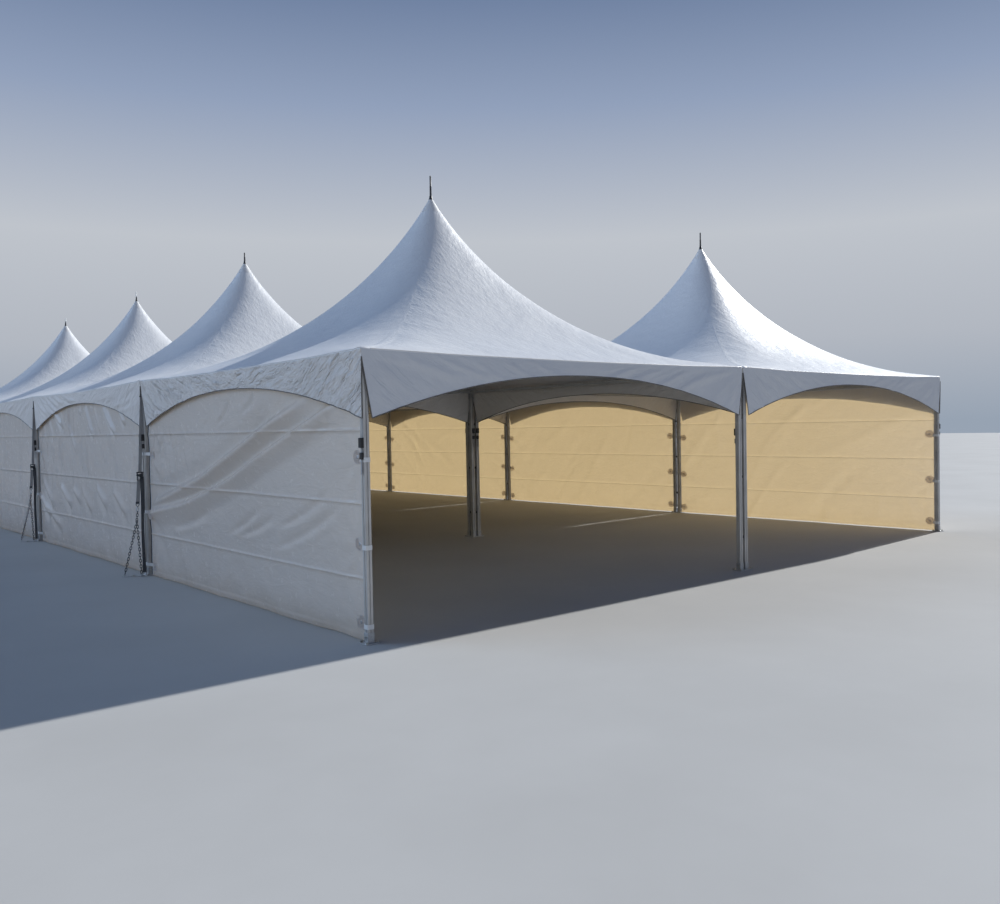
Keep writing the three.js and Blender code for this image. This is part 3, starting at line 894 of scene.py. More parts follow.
def wall_shape(name, u, v, rng):
    h = np.zeros_like(u)
    if name == "left_1":
        h += shelf(u, v, [(-1.55, 2.27), (-1.0, 2.10), (-0.636, 1.978), (-0.305, 1.866), (0.259, 1.685), (0.872, 1.475), (1.447, 1.337), (2.05, 1.20), (2.7, 1.05)],
                   0.106, 0.190, 0.083, 0.025)
        h += shelf(u, v, [(-2.5, 2.30), (-1.9, 2.11), (-1.149, 1.869), (-0.587, 1.685), (-0.080, 1.502), (0.577, 1.316), (1.464, 1.112), (2.455, 0.959), (2.95, 0.90)],
                   0.088, 0.235, 0.078, 0.026, 0.004)
        for a, b in (((0.409, 2.162), (0.072, 2.376)), ((-0.297, 2.279), (-0.60, 2.424)), ((-0.546, 2.063), (-0.931, 2.236)),
                     ((-0.797, 2.046), (-0.925, 2.141)), ((0.06, 0.84), (-0.62, 1.11)), ((-0.26, 0.82), (-1.02, 1.06)),
                     ((-1.3, 1.0), (-2.2, 1.35)), ((-1.2, 0.75), (-2.4, 1.2)), ((1.9, 0.75), (0.9, 0.98))):
            h += ridge(u, v, a, b, 0.045, -0.016)
        h += creases(u, v, rng, 46, ((1.2, 1.45), (2.85, 2.05)), (0.10, 0.34), (0.024, 0.050), 0.010)
        h += creases(u, v, rng, 30, ((-2.6, 2.05), (1.6, 2.5)), (0.14, 0.45), (0.022, 0.045), 0.008, (2.65, 0.35))
        h += creases(u, v, rng, 50, ((-2.9, 0.0), (2.9, 2.6)), (0.3, 0.9), (0.06, 0.12), 0.004, (2.7, 0.4))
        h += creases(u, v, rng, 26, ((-2.9, 0.0), (2.9, 0.55)), (0.3, 0.8), (0.07, 0.14), 0.010, (1.57, 0.5))
    elif name == "left_2":
        lines = [(1.701, 2.466, 1.271, 2.227, 26), (0.870, 2.527, 0.774, 2.098, 20), (-0.193, 2.516, -0.560, 2.049, 26), (-1.183, 2.497, -1.688, 2.078, 30),
                 (-1.940, 2.412, -2.191, 2.213, 20), (0.169, 2.547, 0.117, 2.407, 14), (1.441, 2.061, 1.311, 1.560, 13), (0.765, 2.179, 0.458, 1.775, 16),
                 (-0.127, 1.896, -0.241, 1.431, 12), (1.996, 1.979, 1.884, 1.593, 12), (-1.094, 1.897, -1.157, 1.638, 10), (2.071, 2.312, 1.857, 2.026, 16),
                 (-0.65, 2.50, -0.95, 2.13, 14), (2.45, 2.25, 2.30, 1.90, 14), (1.35, 2.49, 1.12, 2.17, 13), (-1.6, 1.9, -1.72, 1.4, 10), (0.2, 2.0, 0.08, 1.5, 10)]
        for a, az, b, bz, mm in lines:
            h += ridge(u, v, (a, az), (b, bz), 0.040, mm * 0.0018, 0.7)
        for a, az, b, bz, mm in ((1.399, 1.118, 0.844, 0.832, 20), (-0.720, 1.177, -1.175, 0.916, 18), (0.672, 1.104, 0.275, 0.941, 14), (2.789, 0.889, 2.242, 0.608, 22),
                                 (0.122, 1.106, -0.370, 0.816, 14), (2.55, 1.15, 1.95, 0.80, 16), (-1.6, 1.15, -2.15, 0.85, 13), (2.2, 0.62, 1.5, 0.40, 14)):
            h += ridge(u, v, (a, az), (b, bz), 0.070, mm * 0.0022, 0.6)
        h += creases(u, v, rng, 16, ((-2.8, 0.9), (2.8, 1.7)), (0.5, 1.3), (0.05, 0.11), 0.013, (1.65, 0.35))
        h += creases(u, v, rng, 40, ((-2.9, 0.0), (2.9, 1.2)), (0.3, 1.0), (0.06, 0.14), 0.008, (2.3, 0.5))
        h += creases(u, v, rng, 30, ((-2.9, 1.2), (2.9, 2.6)), (0.3, 0.9), (0.04, 0.09), 0.005, (1.5, 0.4))
    else:
        lean = {"left_3": 1.9, "left_4": 1.2, "right_1": 2.4, "right_2": 2.3, "right_3": 0.8, "right_4": 2.1,
                "back_left": 1.3, "back_right": 1.9}[name]
        h += creases(u, v, rng, 11, ((-2.4, 0.4), (2.4, 2.3)), (1.3, 2.6), (0.07, 0.13), 0.024, (lean, 0.30))
        h += creases(u, v, rng, 45, ((-2.9, 0.0), (2.9, 2.6)), (0.3, 1.0), (0.05, 0.12), 0.006, (lean, 0.6))
        h += creases(u, v, rng, 22, ((-2.9, 0.0), (2.9, 0.5)), (0.3, 0.8), (0.07, 0.14), 0.010, (1.57, 0.5))
    # pull lines at the clips and fullness along the ground
    for cv in (0.16, 0.92, 1.76):
        for sg in (-1, 1):
            du, dv = np.abs(WALL_HALF - 0.084 - sg * u), v - cv
            rr = np.hypot(du, dv)
            a = np.arctan2(dv, du)
            h += 0.0065 * np.sin(7 * a + cv * 9 + sg) * smooth(0.08, 0.25, rr) * np.exp(-(rr / 0.55) ** 2)
    h += 0.010 * np.sin(u * 2.9 + rng.uniform(0, 6)) * (1 - smooth(0.0, 0.6, v))
    h += 0.005 * np.sin(u * 7.3 + rng.uniform(0, 6)) * (1 - smooth(0.0, 0.35, v))
    h += 0.008 * np.sin(u * 1.07 + rng.uniform(0, 6)) * np.sin((v - 0.1) * 1.2)
    held = smooth(0.0, 0.22, WALL_HALF - np.abs(u)) * 0.85 + 0.15
    top = smooth(0.0, 0.20, WALL_HIGH - v)
    h = h * held * top
    return np.clip(h, -0.046, 0.088)


def far_end(name):
    """Where the cloth stops at its far end: the left panels hang a little short of the legs."""
    return WALL_HALF - (0.078 if name.startswith("left") else 0.0)


def wall(name, node, origin, along, outward, mats, rng, fine):
    nu, nv = (256, 102) if name in ("left_1", "left_2") else (166, 60) if fine else (116, 44)
    u = np.linspace(-WALL_HALF, far_end(name), nu + 1)
    v = [WALL_LOW, WALL_LOW + 0.006] + list(np.linspace(WALL_LOW + 0.03, WALL_HIGH - 0.006, nv)) + [WALL_HIGH]
    tape = []
    for q in SEAMS:
        v = [w for w in v if abs(w - q) > 0.020]
        v += [q - 0.0155, q - 0.0135, q - 0.0085, q - 0.004, q, q + 0.004, q + 0.0085, q + 0.0135, q + 0.0155]
    hem = 0.075
    v = [w for w in v if abs(w - hem) > 0.008] + [hem - 0.001, hem + 0.001]
    v = np.array(sorted(v))
    U, V = np.meshgrid(u, v)
    H = wall_shape(name, U, V, rng)
    lift = np.zeros_like(v)
    for q in SEAMS:
        lift += np.where(np.abs(v - q) < 0.0145, 0.0016, 0.0) + 0.0085 * np.exp(-((v - q) / 0.0080) ** 2)
    lift += np.where(v < hem, 0.0012, 0.0)
    H = H + lift[:, None]
    origin, along, outward = (np.asarray(k, float) for k in (origin, along, outward))
    P = origin + U[..., None] * along + V[..., None] * np.array([0, 0, 1.0]) + H[..., None] * outward
    R, C = U.shape
    r, c = np.meshgrid(np.arange(R - 1), np.arange(C - 1), indexing="ij")
    F = np.stack([r * C + c, r * C + c + 1, (r + 1) * C + c + 1, (r + 1) * C + c], -1).reshape(-1, 4)
    if np.dot(np.cross(along, [0, 0, 1.0]), outward) < 0:
        F = F[:, ::-1]
    o = build(f"wall_cloth_{name}", P.reshape(-1, 3), F, [mats["wall"]], None,
              np.stack([U, V], -1).reshape(-1, 2))
    finish_piece(o, [node])

    def at(uu, vv):
        """Point and outward push of the panel at (uu, vv)."""
        a = int(np.clip(np.searchsorted(u, uu), 1, C - 1))
        b = int(np.clip(np.searchsorted(v, vv), 1, R - 1))
        return P[b, a], H[b, a]

    return o, at


def wall_fittings(name, origin, along, outward, at, mats):
    """Round reinforcing patches with an eyelet, the bound side edges, the top rope hem and, on the left panels, a dark
    strip of painted shade in the gap by the leg.
    """
    part = Part()
    origin, along, outward = (np.asarray(k, float) for k in (origin, along, outward))
    up = np.array([0, 0, 1.0])
    for sg in (-1, 1):
        for cv in (0.16, 0.92, 1.76):
            uu = far_end(name) - 0.092 if sg > 0 else -(WALL_HALF - 0.092)
            cv = cv - sg * 0.024
            _, h = at(uu, cv)
            m = np.eye(4)
            m[:3, 0], m[:3, 1], m[:3, 2] = along * 1.28, np.cross(outward, along) * 1.06, outward
            m[:3, 3] = origin + along * uu + up * cv + outward * h
            prof = [(0.066, -0.0002), (0.066, 0.0014), (0.0655, 0.0022), (0.052, 0.0024), (0.050, 0.0016),
                    (0.014, 0.0018), (0.0135, 0.0042), (0.0075, 0.0042), (0.007, 0.0008)]
            k = np.eye(4)
            k[1, 1] = k[2, 2] = -1
            part.lathe(prof, 28, mat=0, matrix=m @ k)
            # eyelet on the outer face
            part.lathe([(0.0150, -0.0002), (0.0150, 0.0010), (0.0130, 0.0022), (0.0080, 0.0022), (0.0070, 0.0006)], 20, mat=2, matrix=m)
        # bound side edge
        path, hs = [], []
        for vv in np.linspace(WALL_LOW + 0.004, WALL_HIGH - 0.004, 30):
            uu = far_end(name) - 0.004 if sg > 0 else -(WALL_HALF - 0.004)
            p, h = at(uu, vv)
            path.append(origin + along * uu + up * vv + outward * h)
        part.ribbon(path, 0.022, 0.0022, along, 1)
        # on the left panels a dark strip lies in the gap between the cloth's end and the leg: painted shade of that gap
        if sg > 0 and far_end(name) < WALL_HALF:
            part.ribbon([p + along * 0.034 - outward * 0.003 for p in path], 0.056, 0.0024, along, 3)
    # top hem round its rope
    path = []
    for uu in np.linspace(-WALL_HALF + 0.01, far_end(name) - 0.01, 40):
        path.append(origin + along * uu + up * (WALL_HIGH - 0.008) + outward * 0.0)
    a = np.arange(8) / 8 * 2 * math.pi
    part.sweep(path, 0.0075 * np.stack([np.cos(a), np.sin(a)], 1), up, 1)
    return part.make(f"wall_fittings_{name}", [mats["patch"], mats["wall_edge"], mats["galvanised"], mats["gap_shade_strip"]], angle=30)


# ------------------------------------------------------------------ legs
def tube_outline(half=0.032, groove=0.0058, depth=0.0085, corner=0.004):
    """Square tube with a keder groove down the middle of each face, counter-clockwise."""
    pts = []
    for k in range(4):
        a = k * math.pi / 2
        c, s = math.cos(a), math.sin(a)
        face = [(half, -half + corner), (half, -groove - 0.001), (half - 0.0012, -groove), (half - 0.0026, -groove),
                (half - 0.0030, -groove - 0.0022), (half - depth, -groove - 0.0022),
                (half - depth, groove + 0.0022), (half - 0.0030, groove + 0.0022), (half - 0.0026, groove),
                (half - 0.0012, groove), (half, groove + 0.001), (half, half - corner)]
        arc = [(half - corner + corner * math.cos(t), half - corner + corner * math.sin(t)) for t in (math.radians(30), math.radians(60))]
        for x, y in face + arc:
            pts.append((x * c - y * s, x * s + y * c))
    return np.array(pts)


OUTLINE = tube_outline()


def bolt(part, x, y, z, mat, across=0.019, high=0.011, washer=0.016, matrix=None):
    part.lathe([(washer, z), (washer, z + 0.002), (washer - 0.001, z + 0.0028)], 16, x, y, mat, matrix)
    hexagon = circle(across / math.sqrt(3), 6, x, y)
    part.prism(hexagon, z + 0.0028, z + 0.0028 + high, mat, 0.0012, matrix)


def legs(i, j, mats):
    part = Part()
    lx, ly = line_x(i), line_y(j)
    offs = []
    for sx in (-1, 1):
        for sy in (-1, 1):
            uu = i - 1 if sx < 0 else i
            vv = j - 1 if sy < 0 else j
            if 0 <= uu < 2 and 0 <= vv < 4:
                offs.append((sx, sy))
    d = 0.058
    xs = [lx + o[0] * d for o in offs]
    ys = [ly + o[1] * d for o in offs]
    m = 0.032 + 0.048
    x0, x1, y0, y1 = min(xs) - m, max(xs) + m, min(ys) - m, max(ys) + m
    c = 0.014
    plate = [(x0 + c, y0), (x1 - c, y0), (x1, y0 + c), (x1, y1 - c), (x1 - c, y1), (x0 + c, y1), (x0, y1 - c), (x0, y0 + c)]
    part.prism(plate, 0.0, 0.012, 1, 0.0015)
    e = 0.024
    for hx in (x0 + e, x1 - e):
        for hy in (y0 + e, y1 - e):
            bolt(part, hx, hy, 0.012, 3, 0.024, 0.014, 0.020)
    for x, y in zip(xs, ys):
        shift = np.eye(4)
        shift[0, 3], shift[1, 3] = x, y
        part.prism(OUTLINE, 0.0125, 2.5990, 0, 0.0, shift)
        # welded socket round the foot
        s = 0.0375
        sock = [(x - s + 0.005, y - s), (x + s - 0.005, y - s), (x + s, y - s + 0.005), (x + s, y + s - 0.005),
                (x + s - 0.005, y + s), (x - s + 0.005, y + s), (x - s, y + s - 0.005), (x - s, y - s + 0.005)]
        part.prism(sock, 0.012, 0.105, 1, 0.002)
        weld = []
        for t in np.linspace(0, 2 * math.pi, 25)[:-1]:
            k = 1 / max(abs(math.cos(t)), abs(math.sin(t)))
            weld.append((x + 0.038 * k * math.cos(t), y + 0.038 * k * math.sin(t), 0.0125))
        part.tube(weld, 0.0035, 6, 1, True)
        for sgn in (-1, 1):
            mm = np.eye(4)
            mm[:3, 0], mm[:3, 1], mm[:3, 2] = (0, 1, 0), (0, 0, 1), (1, 0, 0)
            if sgn < 0:
                mm[:3, 0], mm[:3, 2] = (0, -1, 0), (-1, 0, 0)
            mm[:3, 3] = (x + sgn * s, y, 0.065)
            bolt(part, 0, 0, 0, 3, 0.017, 0.008, 0.012, mm)
    # lashing plates that hold neighbouring legs together
    if len(offs) > 1:
        for z in (0.46, 1.30, 2.12):
            for a in range(len(offs)):
                for b in range(a + 1, len(offs)):
                    if (offs[a][0] == offs[b][0]) == (offs[a][1] == offs[b][1]):
                        continue
                    ca = np.array([xs[a], ys[a]])
                    cb = np.array([xs[b], ys[b]])
                    mid = (ca + cb) / 2
                    lo = np.array([mid[0] - 0.009, mid[1] - 0.009, z - 0.02])
                    hi = np.array([mid[0] + 0.009, mid[1] + 0.009, z + 0.02])
                    ax = 0 if abs(ca[0] - cb[0]) > 1e-6 else 1
                    lo[ax], hi[ax] = mid[ax] - 0.0262, mid[ax] + 0.0262
                    part.block(lo, hi, 0.003, 2)
    part.make(f"leg_set_{COLUMNS[i]}_{j + 1}", [mats["aluminium"], mats["galvanised"], mats["dark"], mats["bolt"]],
              [f"legs_{COLUMNS[i]}_{j + 1}"], 32)
    return list(zip(xs, ys, offs))


# ------------------------------------------------------------------ eave frame
def eave_frame(i, j, mats):
    part = Part()
    cx, cy = mid_x(i), mid_y(j)
    c = FRAME_HALF - TUBE / 2
    z = 2.728
    reach = c - 0.036
    for ax in (0, 1):
        for sg in (-1, 1):
            m = np.eye(4)
            if ax == 0:
                m[:3, 0], m[:3, 1], m[:3, 2] = (0, 1, 0), (0, 0, 1), (1, 0, 0)
                m[:3, 3] = (cx, cy + sg * c, z)
            else:
                m[:3, 0], m[:3, 1], m[:3, 2] = (0, 0, 1), (1, 0, 0), (0, 1, 0)
                m[:3, 3] = (cx + sg * c, cy, z)
            part.prism(OUTLINE, -reach - 0.002, reach + 0.002, 0, 0.0, m)
    h = 0.036
    for sx in (-1, 1):
        for sy in (-1, 1):
            px, py = cx + sx * c, cy + sy * c
            part.block((px - h, py - h, 2.600), (px + h, py + h, 2.768), 0.004, 1)
            part.block((px - h - 0.002, py - h - 0.002, 2.6005), (px + h + 0.002, py + h + 0.002, 2.612), 0.0015, 1)
            # cheeks that grip the beams, with their bolts
            for ax in (0, 1):
                lo = [px - h, py - h, 2.694]
                hi = [px + h, py + h, 2.762]
                s = -sx if ax == 0 else -sy
                if s > 0:
                    lo[ax], hi[ax] = (px, py)[ax] + h, (px, py)[ax] + h + 0.085
                else:
                    lo[ax], hi[ax] = (px, py)[ax] - h - 0.085, (px, py)[ax] - h
                part.block(lo, hi, 0.003, 1)
                for t in (0.028, 0.062):
                    mm = np.eye(4)
                    inward = -(sy if ax == 0 else sx)
                    if ax == 0:
                        mm[:3, 0], mm[:3, 1], mm[:3, 2] = (-inward, 0, 0), (0, 0, 1), (0, inward, 0)
                        mm[:3, 3] = (px + s * (h + t), py + inward * h, 2.728)
                    else:
                        mm[:3, 0], mm[:3, 1], mm[:3, 2] = (0, inward, 0), (0, 0, 1), (inward, 0, 0)
                        mm[:3, 3] = (px + inward * h, py + s * (h + t), 2.728)
                    bolt(part, 0, 0, 0, 2, 0.015, 0.007, 0.011, mm)
    part.make(f"eave_beams_{SIDES[i]}_{j + 1}", [mats["aluminium"], mats["galvanised"], mats["bolt"]],
              [f"eave_frame_{SIDES[i]}_{j + 1}"], 32)


# ------------------------------------------------------------------ masts
def mast(i, j, mats):
    part = Part()
    cx, cy = mid_x(i), mid_y(j)
    tip = FINIALS[j][i]
    crown = EAVE + (APEX - EAVE) * float(rise(0.060 / HALF)) - 0.0144
    part.lathe([(0.0, 2.502), (0.040, 2.502), (0.045, 2.507), (0.045, 2.553), (0.040, 2.558), (0.0305, 2.560), (0.0300, 2.640),
                (0.0285, 2.643), (0.0250, 2.644), (0.0250, crown - 0.220), (0.0290, crown - 0.218), (0.0290, crown - 0.100),
                (0.0255, crown - 0.096), (0.0260, crown - 0.075), (0.057, crown - 0.018), (0.060, crown - 0.012),
                (0.059, crown - 0.002), (0.052, crown), (0.016, crown + 0.010), (0.013, crown + 0.014),
                (0.013, APEX - 0.030)], 28, cx, cy, 0)
    def on(r):
        return EAVE + (APEX - EAVE) * float(rise(r / HALF)) + 0.24 * HALF * math.exp(-HALF / 0.36)
    part.lathe([(0.0135, on(0.030) - 0.012), (0.030, on(0.030) - 0.004), (0.0315, on(0.030) + 0.006), (0.030, on(0.030) + 0.012), (0.0235, on(0.022) + 0.014),
                (0.0200, APEX + 0.004), (0.0155, APEX + 0.010), (0.0145, APEX + 0.056)], 24, cx, cy, 1)
    part.lathe([(0.0140, APEX + 0.050), (0.0138, APEX + tip * 0.45), (0.0146, APEX + tip * 0.45 + 0.003), (0.0146, APEX + tip * 0.45 + 0.012),
                (0.0120, APEX + tip * 0.45 + 0.016), (0.0118, APEX + tip - 0.014), (0.0090, APEX + tip - 0.004), (0.0, APEX + tip)],
               16, cx, cy, 1 if j < 2 else 0)
    far = FRAME_HALF - TUBE / 2 - 0.037
    for sx in (-1, 1):
        for sy in (-1, 1):
            a = np.array([cx + sx * 0.030, cy + sy * 0.030, 2.531])
            b = np.array([cx + sx * far, cy + sy * far, 2.726])
            d = (b - a) / np.linalg.norm(b - a)
            flat = np.array([-d[1], d[0], 0.0])
            flat /= np.linalg.norm(flat)
            # eye and fork at the mast's foot
            part.sweep([a, a + d * 0.045], [(-0.004, -0.012), (0.004, -0.012), (0.004, 0.012), (-0.004, 0.012)], flat, 0)
            part.tube([a + d * 0.040, a + d * 0.075, a + d * 0.110], 0.0095, 10, 0, False, [0.9, 1.0, 0.7])
            # turnbuckle near the corner
            q = b - d * 0.36
            body = [q, q + d * 0.012, q + d * 0.030, q + d * 0.200, q + d * 0.218, q + d * 0.230]
            part.tube(body, 0.0125, 10, 0, False, [0.55, 0.95, 0.75, 0.75, 0.95, 0.55])
            part.tube([a + d * 0.100, (a + b) / 2, q], 0.0052, 8, 2)
            part.tube([q + d * 0.225, b - d * 0.040], 0.0058, 8, 0)
            part.tube([b - d * 0.045, b - d * 0.020, b - d * 0.001], 0.0105, 10, 0, False, [0.8, 1.0, 0.9])
    part.make(f"mast_set_{SIDES[i]}_{j + 1}", [mats["galvanised"], mats["dark"], mats["cable"]],
              [f"king_mast_{SIDES[i]}_{j + 1}"], 34)


# ------------------------------------------------------------------ guy straps
def chain(part, a, b, mat, wire=0.0042, pitch=0.034, half_w=0.011):
    a, b = np.asarray(a, float), np.asarray(b, float)
    d = b - a
    n = max(2, int(round(np.linalg.norm(d) / pitch)))
    t = d / np.linalg.norm(d)
    s1 = np.cross(t, [0.3, 1.0, 0.1])
    s1 /= np.linalg.norm(s1)
    s2 = np.cross(t, s1)
    ln = np.linalg.norm(d) / n
    for k in range(n):
        c = a + t * ln * (k + 0.5)
        side = s1 if k % 2 else s2
        pts = []
        half_l = ln / 2 + wire * 1.1 - half_w
        for q in range(12):
            ang = 2 * math.pi * q / 12
            off = half_l if math.cos(ang) > 0.02 else -half_l if math.cos(ang) < -0.02 else 0.0
            pts.append(c + t * (off + half_w * math.cos(ang)) + side * (half_w * math.sin(ang)))
        part.tube(pts, wire, 6, mat, True)


def guy_strap(mats):
    """Drawn for the left side, with its post on the unit line at x = 0; the webbing's flat
    side looks to the front."""
    part = Part()
    across = np.array([1.0, 0, 0])
    X = np.array([1.0, 0, 0])
    top, box = np.array([0.018, -0.020, 2.592]), np.array([-0.044, -0.028, 1.440])
    # upper webbing from the ring under the eave
    n = 16
    line = [top + (box + (0.006, 0, 0.052) - top) * k / n + np.array([0, -0.003 * math.sin(math.pi * k / n), 0]) for k in range(n + 1)]
    part.ribbon(line, 0.048, 0.0030, across, 0)
    part.ribbon([p + np.array([0, -0.0034, 0]) for p in line[:4]], 0.047, 0.0028, across, 0)
    part.tube([top + X * -0.030 + (0, 0, -0.004), top + X * 0.030 + (0, 0, -0.004)], 0.0055, 8, 2)
    part.tube([top + X * -0.030 + (0, 0, -0.004), top + X * -0.026 + (0, 0, 0.004), top + (0, 0, 0.007), top + X * 0.026 + (0, 0, 0.004),
               top + X * 0.030 + (0, 0, -0.004)], 0.005, 8, 2)
    # ratchet, opened towards the front: two cheeks, wheel, spindle, handle with its grip
    b = box
    face = np.eye(4)
    face[:3, 0], face[:3, 1], face[:3, 2] = (0, -1, 0), (0, 0, 1), (-1, 0, 0)
    for sg in (-1, 1):
        x = b[0] + sg * 0.0300
        cheek = [(-0.018, -0.062), (0.014, -0.062), (0.021, -0.020), (0.021, 0.020), (0.013, 0.060), (-0.012, 0.062), (-0.019, 0.028), (-0.020, -0.020)]
        m = face.copy()
        m[:3, 3] = (x + 0.0014, b[1], b[2])
        part.prism(cheek, 0.0, 0.0028, 2, 0.0005, m)
        teeth = []
        for k in range(28):
            r = 0.0195 if k % 2 else 0.0160
            teeth.append((r * math.cos(k / 28 * 2 * math.pi), r * math.sin(k / 28 * 2 * math.pi)))
        m = face.copy()
        m[:3, 3] = (x + sg * 0.0046 + 0.0013, b[1] - 0.001, b[2] + 0.016)
        part.prism(teeth, 0.0, 0.0028, 2, 0.0004, m)
        arm = [(-0.004, -0.058), (0.004, -0.058), (0.022, 0.014), (0.022, 0.030), (0.014, 0.058), (-0.002, 0.060), (-0.008, 0.044), (0.002, 0.010)]
        m = face.copy()
        m[:3, 3] = (x + sg * 0.0098 + 0.0012, b[1], b[2])
        part.prism(arm, 0.0, 0.0024, 2, 0.0004, m)
    part.tube([b + X * -0.045 + (0, 0, 0.016), b + X * 0.045 + (0, 0, 0.016)], 0.0080, 12, 2)
    part.tube([b + X * -0.026 + (0, 0, 0.016), b + X * 0.026 + (0, 0, 0.016)], 0.0165, 16, 3)
    part.tube([b + X * -0.045 + (0, -0.010, 0.052), b + X * -0.040 + (0, -0.012, 0.056), b + X * 0.040 + (0, -0.012, 0.056), b + X * 0.045 + (0, -0.010, 0.052)], 0.0085, 12, 2)
    part.tube([b + X * -0.034 + (0, 0.004, -0.050), b + X * 0.034 + (0, 0.004, -0.050)], 0.0052, 10, 2)
    part.block(b + (-0.026, -0.016, -0.030), b + (0.026, 0.010, -0.022), 0.0015, 2)
    part.block(b + (-0.020, -0.017, -0.008), b + (0.020, -0.013, 0.000), 0.0012, 2)
    # lower webbing, doubled, with its hook
    hook = np.array([-0.086, -0.028, 0.990])
    start = b + np.array([-0.012, 0.004, -0.050])
    end = hook + np.array([0.002, 0, 0.045])
    low = [start + (end - start) * k / 10 for k in range(11)]
    part.ribbon(low, 0.048, 0.0032, across, 0)
    part.ribbon([p + np.array([0.004, -0.0040, 0]) for p in low[1:]], 0.046, 0.0028, across, 0)
    part.block(end + (-0.026, -0.007, 0.010), end + (0.026, 0.003, 0.040), 0.0015, 3)
    delta = [end + X * -0.028 + (0, 0, 0.004), end + X * 0.028 + (0, 0, 0.004), end + (0.0, 0, -0.040)]
    tri = []
    for k in range(3):
        p, q = delta[k], delta[(k + 1) % 3]
        tri += [p + (q - p) * t for t in (0.10, 0.5, 0.90)]
    part.tube(tri, 0.0046, 8, 2, True)
    ring = [hook + np.array([0.017 * math.cos(a), 0.003 * math.cos(a), -0.032 + 0.036 * math.sin(a)]) for a in np.linspace(0, 2 * math.pi, 19)[:-1]]
    part.tube(ring, 0.0052, 8, 1, True)
    fork = np.array([-0.102, -0.028, 0.790])
    chain(part, hook + (-0.001, 0, -0.056), fork + (0, 0, 0.004), 2, 0.0048, 0.040, 0.0135)
    link = [fork + np.array([0.014 * math.cos(a), 0.0, 0.016 * math.sin(a) - 0.004]) for a in np.linspace(0, 2 * math.pi, 17)[:-1]]
    part.tube(link, 0.0048, 8, 2, True)
    # loose dark tail beside the leg
    q0, q1 = np.array([-0.020, -0.036, 1.480]), np.array([-0.022, -0.040, 0.045])
    tail = []
    for k in range(31):
        t = k / 30
        tail.append(q0 + (q1 - q0) * t + np.array([0.005 * math.sin(8 * t), 0.006 * math.sin(6.3 * t + 1.0), 0]))
    tw = [np.array([1.0, 0.30 * math.sin(3.6 * k / 30), 0]) for k in range(31)]
    part.ribbon(tail, 0.047, 0.0028, np.array(tw), 3)
    fold = [p + np.array([0.006, -0.0055 - 0.004 * math.sin(k * 0.7), 0]) for k, p in enumerate(tail[1:13])]
    part.ribbon(fold, 0.046, 0.0028, across, 3)
    # chains and ground plate
    A, B = np.array([-0.076, -0.090, 0.0]), np.array([-0.262, 0.050, 0.0])
    chain(part, fork + (0.004, 0, -0.016), A + (0, 0, 0.040), 2, 0.0048, 0.040, 0.0135)
    chain(part, fork + (-0.004, 0, -0.018), B + (0, 0, 0.040), 2, 0.0048, 0.040, 0.0135)
    d = (B - A) / np.linalg.norm(B - A)
    n2 = np.array([-d[1], d[0], 0])
    m = np.eye(4)
    m[:3, 0], m[:3, 1] = d, n2
    m[:3, 3] = (A + B) / 2
    L = np.linalg.norm(B - A) / 2 + 0.034
    w = 0.040
    part.prism([(-L + 0.01, -w), (L - 0.01, -w), (L, -w + 0.01), (L, w - 0.01), (L - 0.01, w), (-L + 0.01, w), (-L, w - 0.01), (-L, -w + 0.01)],
               0.0, 0.008, 1, 0.0012, m)
    for p in (A, B):
        eye = [p + np.array([0.013 * math.cos(a) * d[0], 0.013 * math.cos(a) * d[1], 0.026 + 0.017 * math.sin(a)]) for a in np.linspace(0, 2 * math.pi, 15)[:-1]]
        part.tube(eye, 0.0045, 8, 1, True)
        part.lathe([(0.013, 0.008), (0.013, 0.012), (0.007, 0.014)], 14, p[0], p[1], 1)
    mid = (A + B) / 2
    bolt(part, mid[0], mid[1], 0.008, 4, 0.024, 0.014, 0.018)
    return part


def place_straps(mats):
    part = guy_strap(mats)
    for j in (1, 2, 3):
        for i, sx in ((0, 1.0), (1, -1.0)):
            m = np.eye(4)
            m[0, 0] = sx
            m[0, 3], m[1, 3] = line_x(0 if i == 0 else 2), line_y(j)
            p = Part()
            p.merge(part, m, flip=sx < 0)
            p.make(f"guy_set_{SIDES[i]}_{j + 1}", [mats["webbing"], mats["galvanised"], mats["dark"], mats["webbing_dark"], mats["bolt"]],
                   [f"guy_strap_{SIDES[i]}_{j + 1}"], 36)


